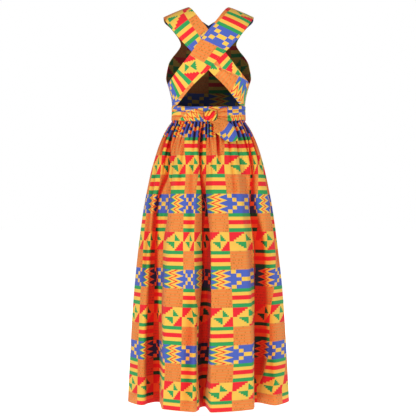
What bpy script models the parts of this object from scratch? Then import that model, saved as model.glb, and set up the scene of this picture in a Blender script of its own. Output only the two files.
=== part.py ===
"""A maxi dress with a gathered skirt, a back of two crossed straps and a tied sash.

Each piece of cloth is an open surface, worked out from the sizes below, with a wall added outside it.
Metres, +Z up. The origin lies midway between the tops of the two shoulders.
The back of the dress faces -Y and its front faces +Y.
"""

import math
import random
from collections import namedtuple

import bpy
from mathutils import Vector

# Cloth
WALL = 0.0015
SEAM_GAP = 0.0003
LAYER = WALL + SEAM_GAP

# Shoulders: the ridge where the cloth turns from front to back, as worn
SHOULDER_INNER_X = 0.075
SHOULDER_OUTER_X = 0.161
SHOULDER_INNER_Z = 0.022
SHOULDER_OUTER_Z = -0.014
SHOULDER_ROUND = 0.070
SHOULDER_SEAM_TURN = 20.0
SEAM_TURN = 0.15
RIDGE_SLOPE = (SHOULDER_OUTER_Z - SHOULDER_INNER_Z) / (SHOULDER_OUTER_X - SHOULDER_INNER_X)

# Waist and hem
BAND_TOP = -0.333
BAND_HEIGHT = 0.052
BACK_SAG = 0.009
SAG_SIDE = 0.375
SAG_FADE = 0.25
HEM_Z = -1.379
SIDE_ANGLE = 89.9
ARMHOLE_Z = -0.2545

# The worn form above the waist, by height: half width, and depth in front and behind
Form = namedtuple("Form", "z half_width front back")
FORM = [
    Form(-0.440, 0.1310, 0.0945, 0.0925),
    Form(-0.385, 0.1300, 0.0940, 0.0920),
    Form(-0.360, 0.1287, 0.0935, 0.0910),
    Form(-0.333, 0.1290, 0.0950, 0.0900),
    Form(-0.306, 0.1320, 0.1030, 0.0915),
    Form(-0.284, 0.1370, 0.1120, 0.0940),
    Form(-0.254, 0.1455, 0.1220, 0.0970),
    Form(-0.220, 0.1580, 0.1230, 0.0995),
    Form(-0.180, 0.1615, 0.1150, 0.1015),
    Form(-0.130, 0.1660, 0.0990, 0.1020),
    Form(-0.080, 0.1770, 0.0840, 0.1000),
    Form(-0.030, 0.1880, 0.0740, 0.0920),
    Form(0.018, 0.1900, 0.0700, 0.0850),
    Form(0.060, 0.1900, 0.0700, 0.0850),
]

# Fullness over the bust, one soft round on each side of the centre front
BUST_X = 0.072
BUST_Z = -0.222
BUST_RADIUS = 0.058
BUST_RISE = 0.010

# Edge of the front panel: side seam up to ARMHOLE_Z, then the armhole to the shoulder
Edge = namedtuple("Edge", "z angle")
FRONT_EDGE = [
    Edge(-0.340, SIDE_ANGLE),
    Edge(-0.300, SIDE_ANGLE),
    Edge(-0.256, SIDE_ANGLE),
    Edge(-0.238, 83.0),
    Edge(-0.220, 74.0),
    Edge(-0.199, 68.5),
    Edge(-0.171, 62.0),
    Edge(-0.148, 53.0),
    Edge(-0.124, 42.5),
    Edge(-0.101, 36.0),
    Edge(-0.075, 39.0),
    Edge(-0.045, 48.0),
    Edge(-0.023, 58.0),
]
NECK_DROP_Z = -0.030
NECK_COLUMNS = 5
SHOULDER_COLUMNS = 7
FRONT_ROWS = 18
SHOULDER_SHARE = 1 / 12

# Edges of a strap on the back, from the shoulder ridge to the far side seam
Station = namedtuple("Station", "inner_x inner_z outer_x outer_z")
STRAP = [
    Station(0.0600, 0.0040, 0.1520, -0.0350),
    Station(0.0330, -0.0330, 0.1220, -0.0780),
    Station(-0.0060, -0.0830, 0.0800, -0.1290),
    Station(-0.0400, -0.1290, 0.0360, -0.1750),
    Station(-0.0740, -0.1730, -0.0080, -0.2240),
    Station(-0.1080, -0.2140, -0.0600, -0.2740),
]
STRAP_COLUMNS = 8
STRAP_STEPS = 3
STRAP_FOOT_X = 0.112
STRAP_CORNER = 0.8
STRAP_CROWN = 0.003
CROWN_REACH = 2.0
# The over strap is lifted clear of the under strap between these stations of the strap table
LIFT_FROM, LIFT_FULL, LIFT_KEEP, LIFT_END = 2.0, 3.5, 6.4, 7.8
STRAP_LIFT = LAYER + 0.0012

# The skirt's outline, by the drop below its top edge
# Roundness 2 is an ellipse, and less is drawn out towards the sides and the middle.
Level = namedtuple("Level", "drop half_width half_depth roundness")
SKIRT_LEVELS = [
    Level(0.000, 0.1300, 0.0930, 2.00),
    Level(0.004, 0.1300, 0.0930, 2.00),
    Level(0.029, 0.1470, 0.1070, 1.98),
    Level(0.050, 0.1590, 0.1160, 1.95),
    Level(0.093, 0.1780, 0.1290, 1.90),
    Level(0.157, 0.1990, 0.1440, 1.85),
    Level(0.243, 0.2190, 0.1600, 1.80),
    Level(0.329, 0.2350, 0.1730, 1.75),
    Level(0.500, 0.2575, 0.1930, 1.70),
    Level(0.671, 0.2735, 0.2080, 1.66),
    Level(0.843, 0.2840, 0.2190, 1.63),
    Level(0.994, 0.2925, 0.2260, 1.60),
]
SKIRT_ROWS = [0.0, 0.004, 0.014, 0.03, 0.055, 0.095, 0.15, 0.22, 0.31, 0.42, 0.55, 0.69, 0.84, 1.0]

# The skirt's large folds. Angles go round from the centre back towards +X, in degrees.
# Widths are the two halves of the fold at the hem, and aim is the way it goes in, in degrees from +X.
Fold = namedtuple("Fold", "hem_angle left right depth aim")
FOLDS = [
    Fold(-48.5, 0.080, 0.026, 0.100, 88.0),
    Fold(-3.0, 0.042, 0.022, 0.094, 90.0),
    Fold(46.5, 0.024, 0.085, 0.098, 92.0),
    Fold(96.0, 0.055, 0.045, 0.046, 178.0),
    Fold(130.0, 0.050, 0.060, 0.074, 250.0),
    Fold(172.0, 0.042, 0.050, 0.072, 270.0),
    Fold(222.0, 0.062, 0.044, 0.086, 288.0),
    Fold(263.0, 0.044, 0.058, 0.048, 2.0),
]
FOLD_PERIMETER_RADIUS = 0.235
FOLD_SPREAD = 0.36
FOLD_START = 0.05
FOLD_GROWTH = 0.62
HEM_SAMPLES = 1440
CENTRE_BACK_TOP_ANGLE = -7.0

# Small gathers under the waistband
GATHERS = 48
COLUMNS_PER_GATHER = 3
Gather = namedtuple("Gather", "drop height")
GATHER_HEIGHTS = [
    Gather(0.000, 0.0008),
    Gather(0.010, 0.0034),
    Gather(0.030, 0.0052),
    Gather(0.070, 0.0050),
    Gather(0.120, 0.0034),
    Gather(0.180, 0.0018),
    Gather(0.260, 0.0006),
    Gather(0.400, 0.0000),
    Gather(1.000, 0.0000),
]
GATHER_SEED = 7
GATHER_UNEVEN = 0.35

BAND_COLUMNS = 72
BAND_ROWS = 3

# Sash: two ties over the band at the back, from the side seams to the knot, and one hanging end
KNOT_X = 0.0065
KNOT_Z = -0.3745
KNOT_HALF = Vector((0.0225, 0.0125, 0.0195))
WAIST_HALF_WIDTH = 0.1290
# A tie lies below the band's top edge by top, and above its bottom edge by bottom
Tie = namedtuple("Tie", "x top bottom")
SASH_LEFT = [
    Tie(-0.1288, 0.0015, 0.0012),
    Tie(-0.1180, 0.0020, 0.0012),
    Tie(-0.0800, 0.0030, 0.0012),
    Tie(-0.0420, 0.0090, 0.0020),
    Tie(KNOT_X - KNOT_HALF.x - SEAM_GAP, 0.0180, 0.0080),
]
SASH_RIGHT = [
    Tie(0.1288, 0.0015, 0.0012),
    Tie(0.1190, 0.0020, 0.0012),
    Tie(0.0860, 0.0020, 0.0012),
    Tie(0.0520, 0.0040, 0.0020),
    Tie(KNOT_X + KNOT_HALF.x + SEAM_GAP, 0.0130, 0.0110),
]
TIE_EASE = 0.0004
SASH_STEPS = 3
SASH_COLUMNS = 12
SASH_PLEATS = 3
SASH_PLEAT_RISE = 0.0030
SASH_KNOT_SWELL = 0.0060

KNOT_RINGS = 12
KNOT_SEGMENTS = 20
KNOT_CREASE = 0.12
KNOT_CREASES = 3
KNOT_SLANT = 2
KNOT_FULLNESS = 0.5

# Edges of the hanging end, from the knot down
Tail = namedtuple("Tail", "left_x left_z right_x right_z stand")
TAIL = [
    Tail(0.0185, -0.4080, 0.0570, -0.3905, 0.012),
    Tail(0.0190, -0.4230, 0.0820, -0.4080, 0.012),
    Tail(0.0220, -0.4350, 0.0960, -0.4340, 0.012),
    Tail(0.0300, -0.4400, 0.1010, -0.4630, 0.012),
]
TAIL_START_ANGLE, TAIL_END_ANGLE = -105.0, -22.0
TAIL_COLUMNS = 10
TAIL_STEPS = 2
TAIL_SAG = 0.014
TAIL_WAVE = 0.0045
TAIL_WAVES = 1.5

CLOTH_COLOURS = {
    "orange": (0.855, 0.273, 0.048),
    "gold": (0.930, 0.560, 0.080),
    "red": (0.860, 0.025, 0.037),
    "green": (0.024, 0.376, 0.114),
    "blue": (0.080, 0.138, 0.578),
}
CLOTH_ROUGHNESS = 0.85


def through(table, column, x):
    """Read a column of a table at x, on a smooth curve through its rows."""
    keys = [row[0] for row in table]
    values = [getattr(row, column) for row in table]
    if x <= keys[0]:
        return values[0]
    if x >= keys[-1]:
        return values[-1]
    i = max(k for k in range(len(keys) - 1) if keys[k] <= x)
    slopes = []
    for k in (i, i + 1):
        before, after = max(k - 1, 0), min(k + 1, len(keys) - 1)
        slopes.append((values[after] - values[before]) / (keys[after] - keys[before]))
    span = keys[i + 1] - keys[i]
    t = (x - keys[i]) / span
    start = values[i] * (1 + 2 * t) * (1 - t) ** 2 + slopes[0] * span * t * (1 - t) ** 2
    end = values[i + 1] * t * t * (3 - 2 * t) + slopes[1] * span * t * t * (t - 1)
    return start + end


def blend(a, b, t):
    return a + (b - a) * t


def ease(t):
    t = min(1.0, max(0.0, t))
    return t * t * (3 - 2 * t)


def ridge(x):
    """Height of the shoulder ridge at x, carried on in a straight line past the cloth."""
    return SHOULDER_INNER_Z + RIDGE_SLOPE * (x - SHOULDER_INNER_X)


def drop_of(turn):
    """How far below the ridge the cloth is after turning over it by an angle in degrees."""
    if turn <= 90:
        return SHOULDER_ROUND * (1 - math.cos(math.radians(turn)))
    return SHOULDER_ROUND * (1 + math.radians(turn - 90))


def turn_of(drop):
    """The angle that belongs to a drop, the other way round."""
    if drop <= SHOULDER_ROUND:
        return math.degrees(math.acos(1 - max(drop, 0.0) / SHOULDER_ROUND))
    return 90 + math.degrees(drop / SHOULDER_ROUND - 1)


def rise(turn):
    return math.sin(math.radians(min(turn, 90.0)))


def bust(x, z):
    """How far the front stands out over the bust."""
    across = (abs(x) - BUST_X) / BUST_RADIUS
    up = (z - BUST_Z) / BUST_RADIUS
    return BUST_RISE * math.exp(-across * across - up * up)


def worn_front(angle, z, ridge_z):
    """A point on the front of the worn form. The angle goes from the centre front to the side."""
    across = through(FORM, "half_width", z) * math.sin(math.radians(angle))
    depth = through(FORM, "front", z) * math.cos(math.radians(angle))
    out = depth * rise(turn_of(ridge_z - z))
    return Vector((across, out + bust(across, z), z))


def worn_back(x, z, turn):
    """A point on the back of the worn form. A turn below zero lies on the front of the shoulder."""
    half_width = through(FORM, "half_width", z)
    share = min(1.0, abs(x) / half_width)
    side = "back" if turn >= 0 else "front"
    depth = through(FORM, side, z) * math.sqrt(1 - share * share)
    return Vector((x, -math.copysign(1, turn) * depth * rise(abs(turn)), z))


def waist_point(angle, z, out=0.0):
    """A point on the worn form at the waist, all round, moved out."""
    behind = math.cos(math.radians(angle)) > 0
    half_width = through(FORM, "half_width", z)
    half_depth = through(FORM, "back" if behind else "front", z)
    across, along = math.sin(math.radians(angle)), -math.cos(math.radians(angle))
    normal = Vector((across / half_width, along / half_depth, 0)).normalized()
    return Vector((half_width * across, half_depth * along, z)) + normal * out


def surface(name, rows, colour, closed=False):
    """Join rows of points into an open surface, and add the cloth's wall on the side it faces."""
    width = len(rows[0])
    points = [point for row in rows for point in row]
    faces = []
    for row in range(len(rows) - 1):
        for column in range(width if closed else width - 1):
            after = (column + 1) % width
            low, high = row * width, (row + 1) * width
            faces.append((low + column, low + after, high + after, high + column))
    mesh = bpy.data.meshes.new(name)
    mesh.from_pydata(points, [], faces)
    mesh.shade_smooth()
    piece = bpy.data.objects.new(name, mesh)
    wall = piece.modifiers.new("Cloth wall", "SOLIDIFY")
    wall.thickness = WALL
    wall.offset = 1
    wall.use_quality_normals = True
    return finish(piece, colour)


def finish(piece, colour):
    """Put a piece in the dress and give it its own cloth."""
    material = bpy.data.materials.new(piece.name + " cloth")
    material.use_nodes = True
    shader = material.node_tree.nodes["Principled BSDF"]
    shader.inputs["Base Color"].default_value = (*CLOTH_COLOURS[colour], 1)
    shader.inputs["Roughness"].default_value = CLOTH_ROUGHNESS
    piece.data.materials.append(material)
    dress.objects.link(piece)
    return piece


def make_front_bodice():
    """One panel from side seam to side seam. Its top runs over both shoulders and dips in a V."""
    seam_drop = drop_of(SHOULDER_SEAM_TURN + SEAM_TURN)
    inner_top = ridge(SHOULDER_INNER_X) - seam_drop
    tops = []
    for i in range(NECK_COLUMNS):
        share = i / NECK_COLUMNS
        tops.append((share * SHOULDER_INNER_X, blend(NECK_DROP_Z, inner_top, share)))
    for i in range(SHOULDER_COLUMNS + 1):
        x = blend(SHOULDER_INNER_X, SHOULDER_OUTER_X, i / SHOULDER_COLUMNS)
        tops.append((x, ridge(x) - seam_drop))
    top_angles = [math.degrees(math.asin(x / through(FORM, "half_width", z))) for x, z in tops]
    rows = []
    for step in range(FRONT_ROWS + 1):
        height = step / FRONT_ROWS
        outer_z = blend(BAND_TOP + SEAM_GAP, tops[-1][1], height)
        near_top = ease((height - 1) / SHOULDER_SHARE + 1)
        edge = blend(through(FRONT_EDGE, "angle", outer_z), top_angles[-1], near_top)
        half = []
        for (_, top), top_angle in zip(tops, top_angles):
            z = blend(BAND_TOP + SEAM_GAP, top, height)
            angle = edge * top_angle / top_angles[-1]
            across = through(FORM, "half_width", z) * math.sin(math.radians(angle))
            half.append(worn_front(angle, z, ridge(across)))
        mirrored = [Vector((-point.x, point.y, point.z)) for point in reversed(half[1:])]
        rows.append(list(reversed(mirrored + half)))
    surface("front_bodice", rows, "orange")


def strap_sections():
    """Sections across a strap, from the shoulder seam to the side seam, as x, z and turn."""
    sections = []
    for turn in (-SHOULDER_SEAM_TURN + SEAM_TURN, 0.0):
        drop = drop_of(abs(turn))
        ends = [(x, ridge(x) - drop, turn) for x in (SHOULDER_INNER_X, SHOULDER_OUTER_X)]
        sections.append(straight(*ends))
    for row in STRAP:
        inner = (row.inner_x, row.inner_z, turn_of(ridge(row.inner_x) - row.inner_z))
        outer = (row.outer_x, row.outer_z, turn_of(ridge(row.outer_x) - row.outer_z))
        sections.append(straight(inner, outer))
    sections.append(foot())
    return sections


def straight(start, end):
    steps = [i / STRAP_COLUMNS for i in range(STRAP_COLUMNS + 1)]
    return [tuple(blend(a, b, t) for a, b in zip(start, end)) for t in steps]


def foot():
    """The last section of a strap follows the side seam down, then the top of the waistband."""
    section = []
    for i in range(STRAP_COLUMNS + 1):
        t = i / STRAP_COLUMNS
        z = blend(ARMHOLE_Z, BAND_TOP + SEAM_GAP, min(1.0, t / STRAP_CORNER))
        x = -through(FORM, "half_width", z) * math.sin(math.radians(SIDE_ANGLE))
        if t > STRAP_CORNER:
            x = blend(x, -STRAP_FOOT_X, (t - STRAP_CORNER) / (1 - STRAP_CORNER))
        section.append((x, z, turn_of(ridge(x) - z)))
    return section


def strap_rows(lifted):
    """Rows of points along a strap, on the worn form, lifted where it passes over the other."""
    sections = strap_sections()
    rows = []
    for section in range(len(sections) - 1):
        for step in range(STRAP_STEPS):
            rows.append(strap_row(sections, section + step / STRAP_STEPS, lifted))
    rows.append(strap_row(sections, len(sections) - 1, lifted))
    return rows


def strap_row(sections, place, lifted):
    last = len(sections) - 1
    here = min(int(place), last - 1)
    t = place - here
    crossing = ease((place - LIFT_FROM) / (LIFT_FULL - LIFT_FROM))
    crossing *= ease((LIFT_END - place) / (LIFT_END - LIFT_KEEP))
    lift = STRAP_LIFT * crossing if lifted else 0.0
    from_ends = ease(place / CROWN_REACH) * ease((last - place) / CROWN_REACH)
    fullness = STRAP_CROWN * (1 - crossing) * from_ends
    row = []
    for i in range(STRAP_COLUMNS + 1):
        near = [sections[min(max(here + k, 0), last)][i] for k in (-1, 0, 1, 2)]
        x, z, turn = (catmull(*values, t) for values in zip(*near))
        point = worn_back(x, z, turn)
        across = i / STRAP_COLUMNS
        crown = fullness * (1 - (2 * across - 1) ** 2)
        outward = out_of_back(x, z, turn)
        row.append(point + outward * (lift + crown))
    return row


def catmull(a, b, c, d, t):
    """A smooth value between b and c."""
    ramp = (c - a) + (2 * a - 5 * b + 4 * c - d) * t + (3 * b - a - 3 * c + d) * t * t
    return b + 0.5 * ramp * t


def out_of_back(x, z, turn):
    """The way out of the worn form on the back."""
    half_width = through(FORM, "half_width", z)
    share = min(0.999, abs(x) / half_width)
    behind = math.sqrt(1 - share * share) * math.copysign(1, turn)
    flat = Vector((math.copysign(share, x), -behind, 0))
    up = math.cos(math.radians(min(abs(turn), 90.0)))
    return (flat * rise(abs(turn)) + Vector((0, 0, up))).normalized()


def make_straps():
    over = strap_rows(True)
    surface("strap_over", over, "blue")
    under = [[Vector((-p.x, p.y, p.z)) for p in reversed(row)] for row in strap_rows(False)]
    surface("strap_under", under, "green")


def make_waistband():
    rows = []
    for row in range(BAND_ROWS + 1):
        ring = []
        for column in range(BAND_COLUMNS):
            angle = 360 * column / BAND_COLUMNS
            top = BAND_TOP - band_dip(angle)
            ring.append(waist_point(angle, blend(top - BAND_HEIGHT, top, row / BAND_ROWS)))
        rows.append(ring)
    surface("waistband", rows, "red", closed=True)


def band_dip(angle):
    """The waist keeps its height where the straps are sewn on, and sags between them."""
    middle = max(0.0, math.cos(math.radians(angle)))
    return BACK_SAG * ease((middle - SAG_SIDE) / (1 - SAG_SIDE))


def fold_reach(fold, angle):
    """How far a fold reaches at an angle round the hem, from 0 to 1."""
    away = (angle - fold.hem_angle + 180) % 360 - 180
    distance = math.radians(away) * FOLD_PERIMETER_RADIUS
    share = distance / (fold.right if distance > 0 else fold.left)
    if abs(share) >= 1:
        return 0.0
    return math.cos(share * math.pi / 2) ** 2


def fold_vector(angle):
    """The whole displacement of the hem at an angle."""
    total = Vector((0, 0, 0))
    for fold in FOLDS:
        aim = math.radians(fold.aim)
        total += Vector((math.cos(aim), math.sin(aim), 0)) * fold.depth * fold_reach(fold, angle)
    return total


def skirt_level(drop):
    """Half width, half depth and roundness of the skirt's outline at a drop."""
    return [through(SKIRT_LEVELS, column, drop) for column in Level._fields[1:]]


def oval(angle, level):
    """A point of the skirt's outline in the direction of an angle, and the way out of it there."""
    half_width, half_depth, roundness = level
    across, along = math.sin(math.radians(angle)), -math.cos(math.radians(angle))
    size = (abs(across) / half_width) ** roundness + (abs(along) / half_depth) ** roundness
    point = Vector((across, along, 0)) / size ** (1 / roundness)
    slope = (abs(point.x) / half_width) ** (roundness - 1) / half_width
    rise_y = (abs(point.y) / half_depth) ** (roundness - 1) / half_depth
    outward = Vector((math.copysign(slope, across), math.copysign(rise_y, along), 0))
    return point, outward.normalized()


def hem_columns():
    """Angles that share the folded hem's length evenly, and the hem's length."""
    level = SKIRT_LEVELS[-1][1:]
    angles = [-180 + 360 * i / HEM_SAMPLES for i in range(HEM_SAMPLES + 1)]
    points = [oval(angle, level)[0] + fold_vector(angle) for angle in angles]
    lengths = [0.0]
    for before, after in zip(points, points[1:]):
        lengths.append(lengths[-1] + (after - before).length)
    count = GATHERS * COLUMNS_PER_GATHER
    columns = []
    place = 0
    for i in range(count):
        target = lengths[-1] * i / count
        while lengths[place + 1] < target:
            place += 1
        part = (target - lengths[place]) / (lengths[place + 1] - lengths[place])
        columns.append(blend(angles[place], angles[place + 1], part))
    return columns, lengths[-1]


def make_skirt():
    """A tube of even width all the way down, drawn together at the waist and falling in folds."""
    columns, hem_length = hem_columns()
    count = len(columns)
    centre = min(range(count), key=lambda i: abs(columns[i] - FOLDS[1].hem_angle))
    start = CENTRE_BACK_TOP_ANGLE - 360 * centre / count
    chance = random.Random(GATHER_SEED)
    uneven = [1 + GATHER_UNEVEN * (chance.random() * 2 - 1) for _ in range(GATHERS)]
    length = BAND_TOP - BAND_HEIGHT - SEAM_GAP - HEM_Z
    rows = []
    for share in reversed(SKIRT_ROWS):
        drop = share * length
        level = skirt_level(drop)
        spread = share ** FOLD_SPREAD
        depth = FOLD_START + (1 - FOLD_START) * share ** FOLD_GROWTH if share else 0.0
        gather = through(GATHER_HEIGHTS, "height", drop)
        ring = []
        for i, hem_angle in enumerate(columns):
            angle = blend(start + 360 * i / count, hem_angle, spread)
            base, normal = oval(angle, level)
            phase = 2 * math.pi * i / COLUMNS_PER_GATHER
            wave = gather * uneven[i // COLUMNS_PER_GATHER] * math.cos(phase)
            waist_angle = math.degrees(math.atan2(base.x / level[0], -base.y / level[1]))
            sag = band_dip(waist_angle) * (1 - ease(share / SAG_FADE))
            top = BAND_TOP - BAND_HEIGHT - SEAM_GAP - sag
            height = Vector((0, 0, top - drop))
            ring.append(base + height + fold_vector(hem_angle) * depth + normal * wave)
        rows.append(ring)
    surface("skirt", rows, "orange", closed=True)
    return hem_length


def tie_point(table, place, across):
    """A point on a tie over the waistband: place runs along its table, across from top to bottom."""
    last = len(table) - 1
    here = min(int(place), last - 1)
    near = [table[min(max(here + k, 0), last)] for k in (-1, 0, 1, 2)]
    x, top, bottom = (catmull(*values, place - here) for values in zip(*near))
    angle = math.degrees(math.asin(x / WAIST_HALF_WIDTH))
    share = place / last
    top = BAND_TOP - band_dip(angle) - top
    bottom = BAND_TOP - BAND_HEIGHT - band_dip(angle) + bottom
    folds = SASH_PLEAT_RISE * ease(share) * 0.5 * (1 - math.cos(2 * math.pi * SASH_PLEATS * across))
    swell = SASH_KNOT_SWELL * share ** 3 * math.sin(math.pi * across)
    return waist_point(angle, blend(top, bottom, across), LAYER + TIE_EASE + folds + swell)


def make_ties():
    for name, table in (("sash_left", SASH_LEFT), ("sash_right", SASH_RIGHT)):
        rows = []
        for step in range((len(table) - 1) * SASH_STEPS + 1):
            place = step / SASH_STEPS
            row = [tie_point(table, place, i / SASH_COLUMNS) for i in range(SASH_COLUMNS + 1)]
            rows.append(row if name == "sash_left" else list(reversed(row)))
        surface(name, rows, "gold")


def knot_centre():
    """The knot stands on the waistband."""
    angle = math.degrees(math.asin(KNOT_X / through(FORM, "half_width", KNOT_Z)))
    return waist_point(angle, KNOT_Z, LAYER + KNOT_HALF.y)


def make_knot():
    """A tight round of cloth: rings across it from left to right, pulled in where it wraps."""
    centre = knot_centre()
    points = [centre - Vector((KNOT_HALF.x, 0, 0))]
    for ring in range(1, KNOT_RINGS):
        turn = math.pi * ring / KNOT_RINGS
        across = -math.cos(turn)
        size = math.sin(turn) ** KNOT_FULLNESS
        for segment in range(KNOT_SEGMENTS):
            around = 2 * math.pi * segment / KNOT_SEGMENTS
            wrap = math.cos(KNOT_CREASES * around + KNOT_SLANT * across)
            crease = 1 - KNOT_CREASE * max(0.0, wrap) ** 2
            out = Vector((0, KNOT_HALF.y * math.cos(around), KNOT_HALF.z * math.sin(around)))
            points.append(centre + Vector((KNOT_HALF.x * across, 0, 0)) + out * size * crease)
    points.append(centre + Vector((KNOT_HALF.x, 0, 0)))
    faces = []
    for segment in range(KNOT_SEGMENTS):
        after = (segment + 1) % KNOT_SEGMENTS
        faces.append((0, 1 + after, 1 + segment))
        for ring in range(KNOT_RINGS - 2):
            low, high = 1 + ring * KNOT_SEGMENTS, 1 + (ring + 1) * KNOT_SEGMENTS
            faces.append((low + segment, low + after, high + after, high + segment))
        last = 1 + (KNOT_RINGS - 2) * KNOT_SEGMENTS
        faces.append((last + segment, last + after, len(points) - 1))
    mesh = bpy.data.meshes.new("sash_knot")
    mesh.from_pydata(points, [], faces)
    mesh.shade_smooth()
    finish(bpy.data.objects.new("sash_knot", mesh), "gold")


def skirt_back(z):
    """How far back the skirt reaches at a height, without its gathers."""
    return through(SKIRT_LEVELS, "half_depth", BAND_TOP - BAND_HEIGHT - z)


def make_tail():
    """The hanging end starts just below the knot and widens as it falls, clear of the skirt."""
    centre = knot_centre()
    reach = KNOT_HALF + Vector((SEAM_GAP, 0, SEAM_GAP))
    top = []
    for i in range(TAIL_COLUMNS + 1):
        around = math.radians(blend(TAIL_START_ANGLE, TAIL_END_ANGLE, i / TAIL_COLUMNS))
        below = -reach.z * abs(math.sin(around)) ** KNOT_FULLNESS
        top.append(centre + Vector((reach.x * math.cos(around), 0, below)))
    sections = [top]
    for number, row in enumerate(TAIL):
        section = []
        for i in range(TAIL_COLUMNS + 1):
            across = i / TAIL_COLUMNS
            x = blend(row.left_x, row.right_x, across)
            sag = TAIL_SAG * math.sin(math.pi * across) * (number + 1) / len(TAIL)
            z = blend(row.left_z, row.right_z, across) - sag
            wave = TAIL_WAVE * math.sin(2 * math.pi * TAIL_WAVES * across) * (number + 1) / len(TAIL)
            section.append(Vector((x, -(skirt_back(z) + row.stand + wave), z)))
        sections.append(section)
    rows = []
    last = len(sections) - 1
    for step in range(last * TAIL_STEPS + 1):
        here = min(step // TAIL_STEPS, last - 1)
        t = step / TAIL_STEPS - here
        near = [sections[min(max(here + k, 0), last)] for k in (-1, 0, 1, 2)]
        rows.append([catmull(*points, t) for points in zip(*near)])
    surface("sash_tail", rows, "gold")


for existing in list(bpy.data.objects):
    bpy.data.objects.remove(existing)
dress = bpy.data.collections.new("maxi_dress")
bpy.context.scene.collection.children.link(dress)

make_front_bodice()
make_straps()
make_waistband()
print("hem length in metres", round(make_skirt(), 3))
make_ties()
make_knot()
make_tail()
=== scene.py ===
# %% [markdown]
# # A maxi dress of printed cotton, seen from the back
# The dress has a full gathered skirt, a wide waistband under a tied sash, and two wide straps that cross on the back.
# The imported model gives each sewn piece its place. It is loaded first and never moved, and each piece of cloth below
# is a thin shell on the form of its own solid, with the folds, creases and stitches that a solid is too plain for.

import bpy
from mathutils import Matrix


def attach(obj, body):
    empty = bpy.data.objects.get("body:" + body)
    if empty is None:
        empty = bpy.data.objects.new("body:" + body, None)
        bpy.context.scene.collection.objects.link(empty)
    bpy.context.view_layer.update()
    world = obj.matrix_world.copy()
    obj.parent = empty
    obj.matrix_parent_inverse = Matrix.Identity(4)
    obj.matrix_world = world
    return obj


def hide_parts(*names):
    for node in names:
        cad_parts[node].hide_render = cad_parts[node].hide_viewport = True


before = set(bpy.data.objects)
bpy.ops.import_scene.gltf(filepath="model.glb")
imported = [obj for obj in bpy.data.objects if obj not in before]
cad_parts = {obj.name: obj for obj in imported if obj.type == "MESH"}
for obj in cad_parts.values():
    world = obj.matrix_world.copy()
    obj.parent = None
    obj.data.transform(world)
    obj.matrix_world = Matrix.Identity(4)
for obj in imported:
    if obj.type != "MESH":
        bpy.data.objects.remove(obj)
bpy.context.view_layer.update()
print("sewn pieces:", ", ".join(sorted(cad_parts)))

# %% [markdown]
# ## Camera
# The photograph is taken level, from a few metres behind the dress, with the middle of the dress in the middle of the
# frame. A camera at half the dress's height with a narrow angle gives the same picture.

# %% Camera
import math
import random
from collections import namedtuple

import bpy
import numpy as np
from mathutils import Vector

VIEW_DISTANCE = 3.5
VIEW_X, VIEW_Z = -0.0021, -0.695
VIEW_HALF_WIDTH = 0.743

scene = bpy.context.scene
camera = bpy.data.objects.new("Camera", bpy.data.cameras.new("Camera"))
camera.data.angle = 2 * math.atan(VIEW_HALF_WIDTH / VIEW_DISTANCE)
camera.location = (VIEW_X, -VIEW_DISTANCE, VIEW_Z)
camera.rotation_euler = (math.radians(90), 0, 0)
scene.collection.objects.link(camera)
scene.camera = camera
print("camera angle in degrees:", round(math.degrees(camera.data.angle), 2))

# %% [markdown]
# ## Studio
# The photograph has a white ground and soft light from all round, a little stronger from the camera's side. A white
# world gives the even light. Two large area lights behind the camera model the folds, and one lights the far side.

# %% Studio
FLOOR_Z = -1.46
FLOOR_HALF = 30.0
SKY = 0.30
GROUND = 1.0
Lamp = namedtuple("Lamp", "name x y z size power")
LAMPS = [
    Lamp("Key light", -1.3, -3.6, 0.9, 1.6, 57.0),
    Lamp("Fill light", 2.2, -3.4, -0.3, 2.4, 16.0),
    Lamp("Far light", 0.9, 3.6, 0.7, 2.6, 62.0),
]
LIT_POINT = Vector((0.0, 0.0, -0.7))

scene.view_settings.view_transform = "Standard"
world = bpy.data.worlds.new("White studio")
world.use_nodes = True
seen_or_lit = world.node_tree.nodes.new("ShaderNodeMapRange")
seen_or_lit.inputs["To Min"].default_value = SKY
seen_or_lit.inputs["To Max"].default_value = GROUND
looked_at = world.node_tree.nodes.new("ShaderNodeLightPath").outputs["Is Camera Ray"]
world.node_tree.links.new(looked_at, seen_or_lit.inputs["Value"])
world.node_tree.nodes["Background"].inputs["Color"].default_value = (1, 1, 1, 1)
world.node_tree.links.new(seen_or_lit.outputs["Result"], world.node_tree.nodes["Background"].inputs["Strength"])
scene.world = world

for lamp in LAMPS:
    light = bpy.data.objects.new(lamp.name, bpy.data.lights.new(lamp.name, "AREA"))
    light.data.size = lamp.size
    light.data.energy = lamp.power
    light.location = (lamp.x, lamp.y, lamp.z)
    light.rotation_euler = (LIT_POINT - light.location).to_track_quat("-Z", "Y").to_euler()
    light.visible_camera = False
    scene.collection.objects.link(light)

corners = [(x * FLOOR_HALF, y * FLOOR_HALF, FLOOR_Z) for x, y in ((-1, -1), (1, -1), (1, 1), (-1, 1))]
floor_mesh = bpy.data.meshes.new("floor")
floor_mesh.from_pydata(corners, [], [(0, 1, 2, 3)])
floor = bpy.data.objects.new("floor", floor_mesh)
scene.collection.objects.link(floor)

# %% [markdown]
# ## Colours and nodes
# Colours are read off as sRGB hex values, as on a screen, while Blender mixes light in linear values. One function
# turns one into the other. A second one adds a node, sets it up and links it, for materials and for geometry, and two
# short ones use it for sums and for laying colours over each other.

# %% Colours and nodes
def linear(hex_colour):
    """An sRGB hex colour as the linear colour that Blender mixes."""
    values = [int(hex_colour[i : i + 2], 16) / 255 for i in (1, 3, 5)]
    return (*(v / 12.92 if v <= 0.04045 else ((v + 0.055) / 1.055) ** 2.4 for v in values), 1.0)


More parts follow.
